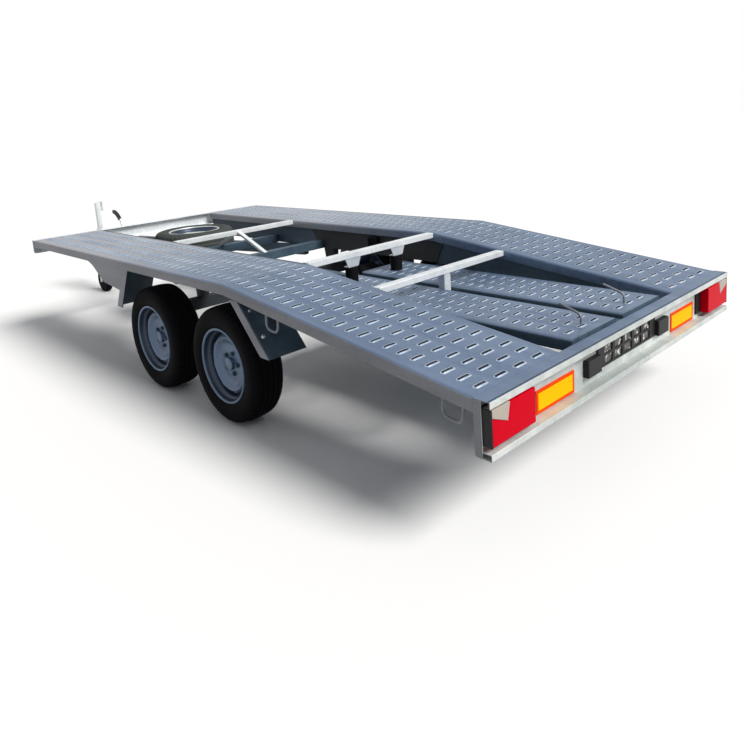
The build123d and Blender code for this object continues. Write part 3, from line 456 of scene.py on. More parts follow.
class Finish:
    """A material, or a world, and the one method that adds a node to it."""

    def __init__(self, owner):
        owner.use_nodes = True
        self.owner = owner
        self.tree = owner.node_tree
        self.tree.nodes.clear()

    def node(self, kind, settings=None, inputs=None, output=0):
        """Adds a node: its settings first, then the values or links of its sockets."""
        added = self.tree.nodes.new(kind)
        for key, value in (settings or {}).items():
            setattr(added, key, value)
        for key, value in (inputs or {}).items():
            if isinstance(value, Socket):
                self.tree.links.new(value.link, added.inputs[key])
            else:
                added.inputs[key].default_value = value
        return Socket(self, added.outputs[output]) if added.outputs else None

    def place(self):
        """Object coordinates."""
        return self.node("ShaderNodeTexCoord", output="Object")

    def part(self, vector, axis):
        """One coordinate of a vector."""
        return self.node("ShaderNodeSeparateXYZ", inputs={0: vector}, output=axis)

    def blend(self, factor, first, second):
        """A colour between two colours."""
        return self.node("ShaderNodeMix", {"data_type": "RGBA"}, {0: factor, 6: first, 7: second}, 2)

    def ease(self, value, low, high):
        """0 below low, 1 above high and a smooth rise between."""
        return self.node("ShaderNodeMapRange", {"interpolation_type": "SMOOTHSTEP"}, {0: value, 1: low, 2: high})

    def noise(self, vector, scale, detail=4.0):
        """Noise from 0 to 1."""
        return self.node("ShaderNodeTexNoise", inputs={"Vector": vector, "Scale": scale, "Detail": detail})

    def flakes(self, vector, scale):
        """A random value for each crystal of a cell pattern."""
        cells = self.node("ShaderNodeTexVoronoi", inputs={"Vector": vector, "Scale": scale}, output="Color")
        return self.node("ShaderNodeSeparateColor", inputs={0: cells})

    def bump(self, height, strength, distance):
        """A normal that follows a height."""
        return self.node("ShaderNodeBump", inputs={"Height": height, "Strength": strength, "Distance": distance})

    def seen(self):
        """1 for what the camera sees, straight, in gloss or through glass."""
        camera = self.node("ShaderNodeLightPath", output="Is Camera Ray")
        glossy = self.node("ShaderNodeLightPath", output="Is Glossy Ray")
        through = self.node("ShaderNodeLightPath", output="Is Transmission Ray")
        return camera.larger(glossy).larger(through)

    def shine(self, **values):
        """A Principled surface on the output, its sockets named in lower case with underscores."""
        inputs = {key.replace("_", " ").title().replace("Ior", "IOR"): value for key, value in values.items()}
        surface = self.node("ShaderNodeBsdfPrincipled", inputs=inputs)
        self.node("ShaderNodeOutputMaterial", inputs={"Surface": surface})
        return self.owner


def rgba(values, scale=1.0):
    """A linear colour with full alpha."""
    return tuple(min(1.0, value * scale) for value in values) + (1.0,)


def material(name):
    """A new finish of that name."""
    return Finish(bpy.data.materials.new(name))


def zinc(name, light, dark, rough, metal, spangle=55.0, dust=None):
    """Hot-dip zinc: cloudy patches drawn out along the trailer, crystals a centimetre or two wide and a faint grain.
    Where dust is given, it greys the zinc from the bend of the deck forwards."""
    finish = material(name)
    place = finish.place()
    crystals = finish.flakes(place, spangle)
    clouds = finish.noise(place, 2.2, 6.0)
    drawn = finish.node("ShaderNodeMapping", inputs={"Vector": place, "Scale": (0.35, 2.2, 2.2)})
    streaks = finish.noise(drawn, 5.0, 5.0)
    grain = finish.noise(place, 240.0, 2.0)
    patches = finish.ease(clouds * 0.5 + streaks * 0.5, 0.36, 0.64)
    tone = finish.blend(patches * 0.64 + crystals * 0.24 + grain * 0.12, rgba(dark), rgba(light))
    if dust:
        film = finish.ease(finish.part(place, "X") + clouds * 0.8, -1.3, 0.9)
        tone = finish.blend(film * (0.75 + crystals * 0.2), tone, rgba(dust))
    return finish.shine(
        base_color=tone,
        metallic=metal,
        roughness=rough + crystals * 0.10 + clouds * 0.10 - 0.10,
        normal=finish.bump(grain * 0.6 + crystals * 0.4, 0.10, 0.001),
    )


def rubber(name, base, rough=0.72):
    """Black rubber with a dusty bloom."""
    finish = material(name)
    place = finish.place()
    bloom = finish.noise(place, 9.0, 5.0)
    grain = finish.noise(place, 420.0, 2.0)
    return finish.shine(
        base_color=finish.blend(bloom * 0.8, rgba(base), rgba(base, 2.2)),
        roughness=rough + bloom * 0.2 - 0.1,
        specular_ior_level=0.04,
        normal=finish.bump(grain, 0.18, 0.0006),
    )


def moulded(name, base):
    """Satin moulded plastic with a fine texture."""
    finish = material(name)
    place = finish.place()
    grain = finish.noise(place, 700.0, 2.0)
    wear = finish.noise(place, 14.0, 4.0)
    return finish.shine(
        base_color=finish.blend(wear * 0.7, rgba(base), rgba(base, 2.4)),
        roughness=0.42 + wear * 0.16,
        specular_ior_level=0.25,
        normal=finish.bump(grain, 0.15, 0.0004),
    )


def paint(name, base):
    """Silver wheel paint under a thin clear coat, with road dust."""
    finish = material(name)
    place = finish.place()
    dust = finish.noise(place, 7.0, 6.0)
    flake = finish.noise(place, 900.0, 1.0)
    return finish.shine(
        base_color=finish.blend(dust * 0.8, rgba(base), rgba(base, 0.72)),
        metallic=0.45,
        roughness=0.36 + dust * 0.18,
        coat_weight=0.15,
        normal=finish.bump(flake, 0.05, 0.0003),
    )


def flecked(name, base, pale):
    """A dull sheet with pale flecks where a noise is high: for the plate, painted shade with painted highlights."""
    finish = material(name)
    place = finish.place()
    flecks = finish.ease(finish.noise(place, 48.0, 3.0), 0.55, 0.63)
    return finish.shine(base_color=finish.blend(flecks, rgba(base), rgba(pale)), roughness=0.4 + flecks * 0.2)


def lens(name, base, ribs):
    """A lamp lens with fine upright and level ribs behind the surface."""
    finish = material(name)
    place = finish.place()
    upright = finish.node("ShaderNodeTexWave", {"bands_direction": "Y"}, {"Vector": place, "Scale": ribs}, "Fac")
    level = finish.node("ShaderNodeTexWave", {"bands_direction": "Z"}, {"Vector": place, "Scale": ribs}, "Fac")
    cells = upright * level
    return finish.shine(
        base_color=finish.blend(cells * 0.55, rgba(base), rgba(base, 0.62)),
        roughness=0.16 + cells * 0.06,
        specular_ior_level=0.02,
    )


def reflector(name, field, border, centre, half_width, half_height, frame_width):
    """A reflective sheet: a field with a border where a point lies beyond the inner rectangle, with a faint painted
    glow.
    """
    finish = material(name)
    place = finish.place()
    across = abs(abs(finish.part(place, "Y")) - centre[0])
    up = abs(finish.part(place, "Z") - centre[1])
    edge = (across > half_width - frame_width).larger(up > half_height - frame_width)
    beads = finish.flakes(place, 420.0)
    shade = beads * 0.25
    sheet = finish.blend(
        edge,
        finish.blend(shade, rgba(field), rgba(field, 0.8)),
        finish.blend(shade, rgba(border), rgba(border, 0.8)),
    )
    return finish.shine(
        base_color=sheet,
        roughness=0.34 + beads * 0.08,
        specular_ior_level=0.02,
        # The emission is a painted glow: the marker plates are reflectors, not lamps.
        emission_color=sheet,
        emission_strength=0.12,
    )


def finishes():
    """Every material of the trailer, made once and kept by name."""
    shades = bpy.context.scene.trailer_finish
    if "deck zinc" not in bpy.data.materials:
        # The deck zinc's blue tint is a painted sky reflection; its dust towards the front is real.
        zinc("deck zinc", shades.deck_light, shades.deck_dark, 0.46, 0.35, dust=shades.dust)
        plain = (
            # painted shade on upright outer sides
            ("flank zinc", "flank", 0.46, 0.30),
            # painted shade on the beams and members
            ("beam zinc", "beam", 0.55, 0.15),
            # painted highlight on the slot lips
            ("rubbed lips", "lip", 0.40, 0.30),
            # painted light on the bars and drawbar parts
            ("new zinc", "bright", 0.42, 0.30),
            # painted light on the rear beam
            ("rear zinc", "rear", 0.45, 0.25),
            # painted shade under the deck
            ("underside", "under", 0.75, 0.0),
        )
        for name, key, rough, metal in plain:
            zinc(name, getattr(shades, f"{key}_light"), getattr(shades, f"{key}_dark"), rough, metal)
        zinc("bright bolts", shades.bright_light, shades.bright_dark, 0.25, 0.90, 300.0)
        # painted shade inside the slots
        zinc("slot walls", shades.slot_wall, shades.slot_wall, 0.70, 0.0)
        rubber("tyre rubber", shades.rubber)
        rubber("buffer rubber", shades.rubber, 0.55)
        rubber("spare rubber", shades.spare_rubber, 0.85)
        moulded("black plastic", shades.plastic)
        # The road wheels' silver is darkened as painted shade.
        paint("wheel silver", shades.rim)
        # painted shade in the rim well
        paint("wheel well", shades.rim_shade)
        paint("spare silver", shades.spare_rim)
        # painted shade with painted highlights behind the plate holder
        flecked("plate sheet", shades.plate_shade, shades.plate_glint)
        lens("red lens", shades.red, 60.0)
        lens("clear lens", shades.clear, 40.0)
        low, high = box("marker_plates")
        outer, inner = high[1], node_inner("marker_plates")
        reflector(
            "amber reflector",
            shades.amber,
            shades.border,
            ((outer + inner) / 2, (low[2] + high[2]) / 2),
            (outer - inner) / 2,
            (high[2] - low[2]) / 2,
            0.013,
        )
    return bpy.data.materials


def node_points(node):
    """The vertices of a CAD node as an array."""
    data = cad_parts[node].data
    points = np.empty(len(data.vertices) * 3, np.float32)
    data.vertices.foreach_get("co", points)
    return points.reshape(-1, 3).astype(float)


def node_inner(node):
    """The smallest distance of a node's left half from the middle of the trailer."""
    across = node_points(node)[:, 1]
    return across[across > 0].min()


def box(node):
    """Low and high corners of a CAD node as arrays."""
    return tuple(np.array(corner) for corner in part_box(node))


def deck_stations(side_name):
    """Rear end, bend and front end of a track's upper surface, as an array, and the depth of its flanges."""
    rear_low, rear_high = box(f"track_rear_{side_name}")
    front_low, front_high = box(f"track_front_{side_name}")
    depth = front_high[2] - front_low[2]
    rear_top = rear_low[2] + depth
    stations = ((rear_low[0], 0, rear_top), (front_low[0], 0, front_high[2]), (front_high[0], 0, front_high[2]))
    return np.array(stations), depth


class TRAILER_OT_tread_plates(Operator):
    """Make both kinked tracks: folded edges, flat fields and rows of drawn-up slots"""

    bl_idname = "trailer.tread_plates"
    bl_label = "Tread plates"

    def execute(self, context):
        tread = context.scene.trailer_tread
        store = finishes()
        for side_name, side in SIDES:
            stations, depth = deck_stations(side_name)
            low, high = box(f"track_front_{side_name}")

            def deck(x, run=stations):
                return np.interp(x, run[:, 0], run[:, 2])

            shell = Shell()
            for edge, turn in ((low[1], -1), (high[1], 1)):
                shell.add(*folded_edge(edge, turn, depth, stations, tread))
            for start, end in zip(stations[:-1, 0], stations[1:, 0]):
                run = end - start - tread.sheet
                rows = round(run / tread.pitch)
                field = (start, end, low[1] + tread.bend, high[1] - tread.bend)
                shell.join(
                    slotted_sheet(
                        field, tread.columns, tread.column_pitch, rows, run / rows, tread.slot_length, tread, deck
                    )
                )
            steel = (store["deck zinc"], store["rubbed lips"], store["slot walls"], store["flank zinc"])
            mesh = shell.mesh(f"tread_{side_name}", *steel)

            def upright(normals, middles, numbers, out=side):
                # Outward upright faces get the shaded flank zinc: painted shade.
                numbers[(numbers == 0) & (normals[:, 1] * out > 0.8)] = 3
                return numbers

            refinish(mesh, upright)
            nodes = (f"track_rear_{side_name}", f"track_front_{side_name}")
            put(f"tread_{side_name}", mesh, "chassis", nodes)
        return {"FINISHED"}


class TRAILER_OT_ramps(Operator):
    """Make the stowed loading ramps: channels with slotted tops"""

    bl_idname = "trailer.ramps"
    bl_label = "Loading ramps"

    def execute(self, context):
        tread = context.scene.trailer_tread
        store = finishes()
        for side_name, _ in SIDES:
            low, high = box(f"ramp_{side_name}")
            depth = high[2] - low[2]
            bend, sheet = tread.bend, tread.sheet
            shell = Shell()
            stations = np.array(((low[0], 0, high[2]), (high[0], 0, high[2])))
            for edge, turn in ((low[1], -1), (high[1], 1)):
                shell.add(*folded_edge(edge, turn, depth, stations, tread))
            rows = int((high[0] - low[0]) / tread.ramp_pitch)
            field = (low[0], high[0], low[1] + bend, high[1] - bend)
            shell.join(
                slotted_sheet(
                    field, tread.ramp_columns, tread.ramp_column_pitch, rows, tread.ramp_pitch,
                    tread.ramp_slot_length, tread, lambda x: np.full(np.shape(x), high[2]),
                )
            )
            for x in (low[0], high[0] - sheet):
                shell.add(*block((x, low[1] + sheet, low[2]), (x + sheet, high[1] - sheet, high[2] - sheet)))
            steel = (store["deck zinc"], store["rubbed lips"], store["slot walls"], store["beam zinc"])
            mesh = shell.mesh(f"loading_ramp_{side_name}", *steel)

            def upright(normals, middles, numbers):
                # The ramps' sides get the shaded beam zinc: painted shade.
                numbers[(numbers == 0) & (normals[:, 2] < 0.6)] = 3
                return numbers

            refinish(mesh, upright)
            put(f"loading_ramp_{side_name}", mesh, "chassis", (f"ramp_{side_name}",))
        return {"FINISHED"}


class TRAILER_OT_frame(Operator):
    """Finish the beams, bars, axles and mudguards and set their bolts"""

    bl_idname = "trailer.frame"
    bl_label = "Frame"

    def execute(self, context):
        store = finishes()
        sheltered = (
            "main_beam_left", "main_beam_right", "cross_members", "centre_rail", "drawbar_left", "drawbar_right",
            "spare_carrier",
        )
        # The sheltered parts get the shaded beam zinc: painted shade.
        for node in sheltered:
            softened(node, (store["beam zinc"],))
        # The carrier plates, axles and swing arms get the underside: painted shade.
        for node in ("carrier_plates", "axle_rear", "axle_front", "swing_arms"):
            softened(node, (store["underside"],))
        # The bars and the front beam get the sunlit zinc: painted light.
        for node in ("crossbar_front", "crossbar_middle", "crossbar_rear", "front_beam"):
            softened(node, (store["new zinc"],))
        softened("ramp_buffers", (store["buffer rubber"],), bevel=0.004)
        self.rear_beam(store)
        self.mudguards(store)
        self.lashing_rings(store)
        self.latch_rods(store)
        return {"FINISHED"}

    def rear_beam(self, store):
        """The rear beam: deck zinc on top, painted shade in its groove and on its ends, and painted light elsewhere.
        """
        low, high = box("rear_beam")

        def faces(normals, middles, numbers):
            # Finish numbers: 0 painted light, 1 the deck's top, 2 painted shade in the groove, 3 painted shade on the
            # ends.
            level = normals[:, 2] > 0.7
            groove = (middles[:, 2] < high[2] - 0.0002) & (middles[:, 2] > high[2] - 0.003)
            numbers[:] = 0
            numbers[level & (middles[:, 2] > high[2] - 0.0002)] = 1
            numbers[groove & (middles[:, 0] < low[0] + 0.03)] = 2
            numbers[np.abs(normals[:, 1]) > 0.7] = 3
            return numbers

        steel = (store["rear zinc"], store["deck zinc"], store["slot walls"], store["flank zinc"])
        softened("rear_beam", steel, bevel=0.0012, rule=faces)

    def mudguards(self, store):
        """The mudguards: flank zinc on their outer strips and gussets, beam zinc on the slanted skins, and two
        bolts on each skin, at shares of the line from its foot to its head."""
        low, high = box("tyre_rear_left")
        wheel_x = (low[0] + high[0]) / 2

        def faces(normals, middles, numbers):
            return np.abs(normals[:, 1]) > 0.7

        shares, inset, bolt_size, bolt_height = (0.30, 0.66), 0.034, 0.0085, 0.008
        shell = Shell()
        for side_name, side in SIDES:
            node = f"mudguards_{side_name}"
            # The skins get the shaded beam zinc and the outer strips and gussets the shaded flank zinc: painted shade.
            softened(node, (store["beam zinc"], store["flank zinc"]), rule=faces)
            points = node_points(node)
            skin = points[points[:, 0] < wheel_x]
            foot, head = skin[skin[:, 0].argmin()], skin[skin[:, 2].argmax()]
            run = (head - foot) * (1, 0, 1)
            normal = np.array((-run[2], 0, run[0])) / np.hypot(run[0], run[2])
            outer = np.abs(points[:, 1]).max()
            places = foot + run * np.array(shares)[:, None]
            places[:, 1] = side * (outer - inset)
            shell.add(*hex_heads(places, normal, bolt_size, bolt_height))
        show("guard_bolts", shell, (store["bright bolts"],), "chassis", (), 30)

    def lashing_rings(self, store):
        """Lashing rings: round rods bent to a U in the plane of the flange, square to the deck above them."""
        stations, depth = deck_stations("left")
        run = stations[1] - stations[0]
        run /= np.linalg.norm(run)
        down = np.cross(run, ACROSS)
        down *= -np.sign(down[2])
        points = node_points("lashing_rings")
        middle_x = points[:, 0].mean()
        shell = Shell()
        for _, side in SIDES:
            for behind in (True, False):
                ring = points[(points[:, 1] * side > 0) & ((points[:, 0] < middle_x) == behind)]
                u, v = ring @ run, ring @ down
                y = np.unique(np.abs(ring[:, 1]).round(5))
                rod = (y.max() - y.min()) / 2
                left, right = u.min() + rod, u.max() - rod
                top, foot = v.min(), v.max() - rod
                corners = np.array(((left, top), (left, foot), (right, foot), (right, top)))
                path = corners[:, :1] * run + corners[:, 1:] * down
                path[:, 1] = side * (y.max() - rod)
                shell.add(*tube(rounded_path(path, 0.034), rod, ACROSS))
        # The lashing rods get the shaded flank zinc: painted shade.
        show("lashing_rods", shell, (store["flank zinc"],), "chassis", ("lashing_rings",), 50)

    def latch_rods(self, store):
        """Ramp latches: round rods that stand on the ramps and bend forwards."""
        points = node_points("ramp_handles")
        shell = Shell()
        for _, side in SIDES:
            bar = points[points[:, 1] * side > 0]
            low, high = bar.min(0), bar.max(0)
            rod = (high[1] - low[1]) / 2
            y = (low[1] + high[1]) / 2
            knee = low[2] + 0.52 * (high[2] - low[2])
            corners = ((low[0] + rod, y, low[2]), (low[0] + rod, y, knee), (high[0], y, high[2] - rod))
            shell.add(*tube(rounded_path(corners, 0.02), rod, ACROSS))
        # The latch rods get the shaded flank zinc: painted shade.
        show("ramp_latch_rods", shell, (store["flank zinc"],), "chassis", ("ramp_handles",), 50)


class TRAILER_OT_wheels(Operator):
    """Make the road wheels and the spare: grooved tyres on dished steel rims with hub caps and bolts"""

    bl_idname = "trailer.wheels"
    bl_label = "Wheels"

    def tyre(self, centre, axis, radius, width, steps=192):
        """A tyre: half-width bulges up the wall, the tread is a flat crown cut by four grooves, and notches cross
        its shoulders. r(o, t) = crown(o) - groove(o) - notch(o, t)."""
        drawn_radius, drawn_width, groove_half, groove_depth, notch_depth = 0.307, 0.188, 0.0042, 0.0065, 0.0045
        wall = np.array(
            (
                (0.1868, 0.0660), (0.1880, 0.0750), (0.196, 0.0805), (0.212, 0.0868), (0.232, 0.0925),
                (0.252, 0.0940), (0.270, 0.0918), (0.284, 0.0868), (0.2935, 0.0800), (0.299, 0.0735),
            )
        ) * (radius / drawn_radius, width / drawn_width)
        o = np.linspace(1, -1, 57) * 0.378 * width
        crown = radius - 0.0065 * (np.abs(o) / o.max()) ** 3
        grooves = np.array((-0.245, -0.085, 0.085, 0.245)) * width
        depth = (np.abs(o[:, None] - grooves).min(1) < groove_half) * groove_depth
        offsets = np.concatenate((wall[:, 1], o, -wall[::-1, 1]))
        radii = np.concatenate((wall[:, 0], crown - depth, wall[::-1, 0]))
        shoulder = (np.abs(offsets) > 0.266 * width) & (radii > radius - 0.017)
        notch = shoulder[:, None] * (np.arange(steps) % 4 == 0) * notch_depth
        points, quads = lathe(np.stack((radii, offsets), -1), centre, axis, steps)
        spoke = points - np.asarray(centre)
        spoke = spoke - (spoke @ axis)[..., None] * axis
        spoke /= np.linalg.norm(spoke, axis=-1, keepdims=True)
        return points - notch[..., None] * spoke, quads

    def rim(self, centre, axis):
        """A pressed steel wheel turned from one closed profile of (radius, offset): lip, bead seat, well, the dish
        with its raised ring, hub face, cap, and the back with a blind bore for the spindle. The well has finish 1."""
        front = (
            (0.1970, 0.0790), (0.1992, 0.0830), (0.1975, 0.0868), (0.1925, 0.0880), (0.1880, 0.0862),
            (0.1852, 0.0810), (0.1835, 0.0700), (0.1805, 0.0600), (0.1755, 0.0560), (0.1715, 0.0525),
            (0.1690, 0.0440), (0.1665, 0.0300), (0.1635, 0.0235), (0.1590, 0.0260), (0.1530, 0.0400),
            (0.1470, 0.0480), (0.1400, 0.0510), (0.1330, 0.0490), (0.1250, 0.0430), (0.1150, 0.0340),
            (0.1050, 0.0285), (0.0950, 0.0268), (0.0860, 0.0275), (0.0560, 0.0280), (0.0380, 0.0280),
            (0.0340, 0.0295), (0.0338, 0.0440), (0.0320, 0.0490), (0.0270, 0.0515), (0.0120, 0.0522), (0.0, 0.0522),
        )
        back = (
            (0.0, 0.0240), (0.0203, 0.0240), (0.0203, 0.0150), (0.0860, 0.0150), (0.1050, 0.0165),
            (0.1150, 0.0220), (0.1250, 0.0310), (0.1330, 0.0370), (0.1400, 0.0390), (0.1470, 0.0360),
            (0.1530, 0.0280), (0.1570, 0.0150), (0.1600, -0.0100), (0.1620, -0.0400), (0.1640, -0.0600),
            (0.1740, -0.0680), (0.1850, -0.0800), (0.1975, -0.0850), (0.1985, -0.0800), (0.1870, -0.0740),
            (0.1795, -0.0650), (0.1795, 0.0560), (0.1870, 0.0740),
        )
        bands = np.zeros(len(front) + len(back), int)
        # The well's bands get painted shade.
        bands[5:13] = 1
        return *lathe(np.array(front + back), centre, axis, 96), np.repeat(bands, 96)

    def hand_holes(self, centre, axis, count=8):
        """Hand holes: ovals of (a cos t, b sin t) round the dish's outer slope, each a bright rim and a dark floor of
        painted shade.
        """
        slope = np.array((0.8, 0.6))
        turn = np.arange(count) * 2 * pi / count + 0.25
        e, f = square_to(axis)
        out = np.cos(turn)[:, None] * e + np.sin(turn)[:, None] * f
        tangent = np.cos(turn)[:, None] * f - np.sin(turn)[:, None] * e
        normal = slope[0] * out + slope[1] * axis
        fall = slope[1] * out - slope[0] * axis
        t = np.arange(16) * pi / 8
        shares = np.array((1.25, 1.15, 0.95, 0.0))
        lifts = np.array((0.0, 0.0016, 0.0006, 0.0006))
        half_length, half_width, circle, offset = 0.015, 0.0042, 0.1500, 0.0440
        oval = half_length * np.cos(t)[:, None] * tangent[:, None] + half_width * np.sin(t)[:, None] * fall[:, None]
        middle = centre + circle * out + offset * axis
        ovals = shares[:, None, None] * oval[:, None]
        points = middle[:, None, None] + ovals + lifts[:, None, None] * normal[:, None, None]
        quads = strip(4, 16, wrap_columns=True)
        starts = np.arange(count)[:, None, None] * 64
        # The holes' floors get the shaded wheel well: painted shade.
        bands = np.tile(np.repeat((0, 0, 1), 16), count)
        return points, (quads[None] + starts).reshape(-1, 4), bands

    def execute(self, context):
        store = finishes()
        for corner in CORNERS:
            low, high = box(f"tyre_{corner}")
            axis = ACROSS * (1 if corner.endswith("left") else -1)
            nodes = (f"tyre_{corner}", f"rim_{corner}")
            self.wheel(store, corner, low, high, axis, f"wheel_{corner}", nodes, "tyre rubber", "wheel silver")
        low, high = box("spare_tyre")
        nodes = ("spare_tyre", "spare_rim")
        self.wheel(store, "spare", low, high, UP, "chassis", nodes, "spare rubber", "spare silver")
        return {"FINISHED"}

    def wheel(self, store, name, low, high, axis, body, nodes, black, silver):
        """Puts one tyre, its rim with hand holes, and its bolts."""
        centre = (low + high) / 2
        width = (high - low) @ np.abs(axis)
        shell = Shell().add(*self.tyre(centre, axis, (high - low).max() / 2, width))
        show(f"road_tyre_{name}", shell, (store[black],), body, nodes[:1], 40)
        shell = Shell()
        for points, quads, bands in (self.rim(centre, axis), self.hand_holes(centre, axis)):
            shell.add(points, quads, finish=bands)
        show(f"steel_wheel_{name}", shell, (store[silver], store["wheel well"]), body, nodes[1:], 35)
        bolts, circle, seat, bolt_size, bolt_height = 5, 0.056, 0.0275, 0.0105, 0.014
        turn = np.arange(bolts) * 2 * pi / bolts + 0.3
        e, f = square_to(axis)
        places = centre + circle * (np.cos(turn)[:, None] * e + np.sin(turn)[:, None] * f) + seat * axis
        shell = Shell().add(*hex_heads(places, axis, bolt_size, bolt_height))
        # The wheel bolts get the shaded beam zinc: painted shade.
        show(f"wheel_bolts_{name}", shell, (store["beam zinc"],), body, (), 30)


class TRAILER_OT_rear_lamps(Operator):
    """Finish the rear lamps, marker plates and number plate holder"""

    bl_idname = "trailer.rear_lamps"
    bl_label = "Rear lamps"

    def execute(self, context):
        store = finishes()
        lamps = (
            ("lamp_housings", "black plastic", "black_plastic", 0.002),
            ("lamp_lenses", "red lens", "red_lens", 0.002),
            ("lamp_windows", "clear lens", "clear_lens", 0.0015),
            ("marker_plates", "amber reflector", "amber_reflector", 0.0008),
            ("plate_holder", "black plastic", "black_plastic", 0.001),
            ("front_markers", "clear lens", "clear_lens", 0.004),
        )
        for node, finish, slot, bevel in lamps:
            softened(node, (store[finish],), "chassis", bevel)
        self.plate_lamps(store)
        return {"FINISHED"}

    def plate_lamps(self, store):
        """The lamps beside the plate, boxes with round edges, and a sheet of painted shade with painted highlights
        behind the plate holder's lattice.
        """
        points = node_points("plate_lamps")
        shown, margin = 0.74, 0.003
        shell = Shell()
        for _, side in SIDES:
            lamp = points[points[:, 1] * side > 0]
            low, high = lamp.min(0), lamp.max(0)
            top = low[2] + shown * (high[2] - low[2])
            shell.add(*block(low, (high[0], high[1], top)))
        plastic = (store["black plastic"],)
        show("plate_lamp_boxes", shell, plastic, "chassis", ("plate_lamps",), 30, bevel=0.004)
        # The sheet behind the lattice is painted shade with painted highlights.
        low, high = box("plate_holder")
        shell = Shell().add(*block((high[0] - 0.002, *(low[1:] + margin)), high - (0.0005, margin, margin)))
        show("plate_sheet", shell, (store["plate sheet"],), "chassis", (), 30)


class TRAILER_OT_drawbar(Operator):
    """Finish the overrun device, coupling, brake lever and jockey wheel"""

    bl_idname = "trailer.drawbar"
    bl_label = "Drawbar"

    def execute(self, context):
        store = finishes()
        # The drawbar's steel parts get the sunlit zinc: painted light.
        bright = (store["new zinc"],)
        zinc_nodes = (
            "overrun_housing", "brake_lever", "coupling_handle", "jockey_clamp", "jockey_tube", "jockey_crank",
        )
        for node in zinc_nodes:
            softened(node, bright)
        softened("coupling_head", bright)
        softened("lever_grip", (store["black plastic"],))
        for node in ("jockey_leg", "jockey_fork"):
            softened(node, bright, node, 0.001)
        softened("jockey_wheel", (store["tyre rubber"],), "jockey_wheel", 0.012)
        self.bellows(store)
        return {"FINISHED"}

    def bellows(self, store):
        """Rubber bellows: a ribbed sleeve r(u) = R - d (1 + cos 12 pi u) closed at both ends."""
        low, high = box("bellows")
        u = np.linspace(0, 1, 61)
        ribs = (high[2] - low[2]) / 2 - 0.0045 * (1 + np.cos(12 * pi * u))
        radii = np.concatenate(((0.0,), ribs, (0.0,)))
        heights = np.concatenate(((0.0,), u, (1.0,))) * (high[0] - low[0])
        centre = np.array((low[0], (low[1] + high[1]) / 2, (low[2] + high[2]) / 2))
        shell = Shell().add(*lathe(np.stack((radii, heights), -1), centre, ALONG, 48, closed=False))
        show("ribbed_bellows", shell, (store["buffer rubber"],), "chassis", ("bellows",), 40)


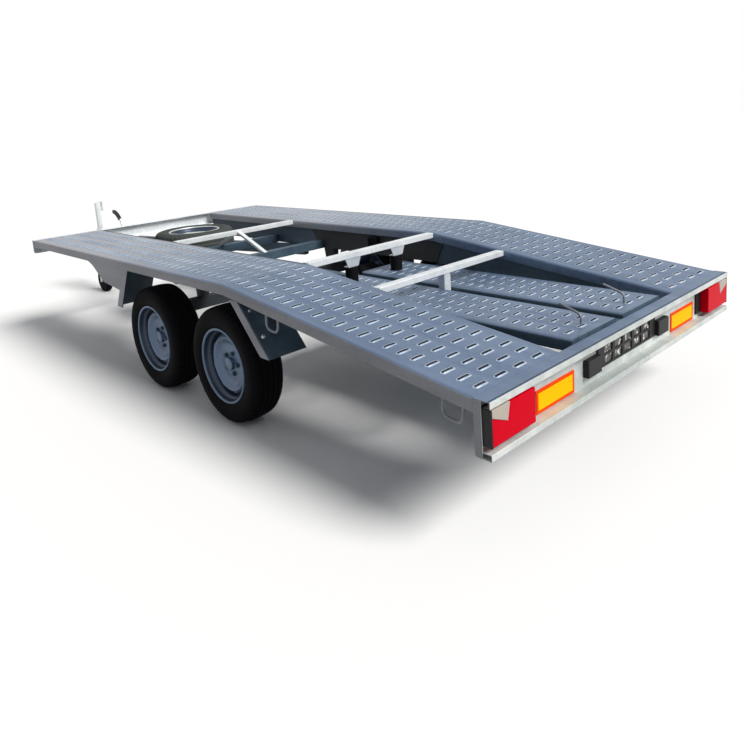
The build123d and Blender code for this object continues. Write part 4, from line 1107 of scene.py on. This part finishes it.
class TRAILER_OT_stage(Operator):
    """Set the camera at the photograph's view, with a pale floor and soft light"""

    bl_idname = "trailer.stage"
    bl_label = "Stage"

    def execute(self, context):
        stage = context.scene.trailer_stage
        scene = context.scene
        scene.view_settings.view_transform = "Standard"
        self.camera(scene, stage)
        self.floor(scene, stage)
        self.light(scene, stage)
        return {"FINISHED"}

    def camera(self, scene, stage):
        """Axes from yaw a, pitch b and roll c: forward = (cos a cos b, sin a cos b, -sin b), then a turn by c."""
        a, b, c = stage.yaw, stage.pitch, stage.roll
        forward = Vector((cos(a) * cos(b), sin(a) * cos(b), -sin(b)))
        right = Vector((sin(a), -cos(a), 0))
        up = right.cross(forward)
        across = cos(c) * right + sin(c) * up
        rise = cos(c) * up - sin(c) * right
        data = bpy.data.cameras.new("photo view")
        data.sensor_width = 36
        data.lens = stage.lens
        data.shift_y = stage.shift
        eye = bpy.data.objects.new("photo view", data)
        turn = Matrix((across, rise, -forward)).transposed().to_4x4()
        eye.matrix_world = Matrix.Translation(stage.camera_place) @ turn
        scene.collection.objects.link(eye)
        scene.camera = eye

    def floor(self, scene, stage):
        """A level square of pale floor."""
        reach = 60.0
        points = np.array(((-reach, -reach, 0), (reach, -reach, 0), (reach, reach, 0), (-reach, reach, 0)))
        finish = material("pale floor")
        clouds = finish.noise(finish.place(), 0.4, 3.0)
        pale = finish.blend(clouds, rgba(stage.floor), rgba(stage.floor, 0.985))
        finish.shine(base_color=finish.blend(finish.seen(), rgba(stage.bounce), pale), roughness=0.9)
        mesh = Shell().add(points, np.array(((0, 1, 2, 3),))).mesh("floor", finish.owner)
        ground = bpy.data.objects.new("floor", mesh)
        scene.collection.objects.link(ground)

    def light(self, scene, stage):
        """A white surround that shows in the picture and in gloss, a softer level for everything else, and a sun."""
        world = bpy.data.worlds.new("studio")
        scene.world = world
        finish = Finish(world)
        soft = finish.node("ShaderNodeBackground", inputs={"Color": (0.93, 0.96, 1.0, 1.0), "Strength": stage.sky})
        white = finish.node("ShaderNodeBackground", inputs={"Color": (1.0, 1.0, 1.0, 1.0), "Strength": 1.0})
        mixed = finish.node("ShaderNodeMixShader", inputs={0: finish.seen(), 1: soft, 2: white})
        finish.node("ShaderNodeOutputWorld", inputs={"Surface": mixed})
        data = bpy.data.lights.new("key", "SUN")
        data.energy = stage.sun
        data.angle = stage.sun_spread
        data.color = (1.0, 0.98, 0.95)
        key = bpy.data.objects.new("key", data)
        key.matrix_world = Vector(stage.sun_from).to_track_quat("Z", "Y").to_matrix().to_4x4()
        scene.collection.objects.link(key)


class TRAILER_PT_panel(Panel):
    """The trailer's settings and steps."""

    bl_idname = "TRAILER_PT_panel"
    bl_label = "Car transport trailer"
    bl_space_type = "VIEW_3D"
    bl_region_type = "UI"
    bl_category = "Trailer"

    def draw(self, context):
        for step in OPERATORS:
            self.layout.operator(step.bl_idname)
        for name, group in SETTINGS:
            column = self.layout.column()
            for key in group.__annotations__:
                column.prop(getattr(context.scene, name), key)


OPERATORS = (
    TRAILER_OT_tread_plates,
    TRAILER_OT_ramps,
    TRAILER_OT_frame,
    TRAILER_OT_wheels,
    TRAILER_OT_rear_lamps,
    TRAILER_OT_drawbar,
    TRAILER_OT_stage,
)
SETTINGS = (("trailer_tread", TreadSettings), ("trailer_finish", FinishSettings), ("trailer_stage", StageSettings))


def register():
    """Registers the settings, the steps and the panel."""
    for name, group in SETTINGS:
        bpy.utils.register_class(group)
        setattr(bpy.types.Scene, name, PointerProperty(type=group))
    for step in OPERATORS:
        bpy.utils.register_class(step)
    bpy.utils.register_class(TRAILER_PT_panel)


def unregister():
    """Removes what register added."""
    bpy.utils.unregister_class(TRAILER_PT_panel)
    for step in reversed(OPERATORS):
        bpy.utils.unregister_class(step)
    for name, group in reversed(SETTINGS):
        delattr(bpy.types.Scene, name)
        bpy.utils.unregister_class(group)


def main():
    """Dresses the frame."""
    register()
    for step in OPERATORS:
        group, name = step.bl_idname.split(".")
        getattr(getattr(bpy.ops, group), name)()


if __name__ == "__main__":
    main()
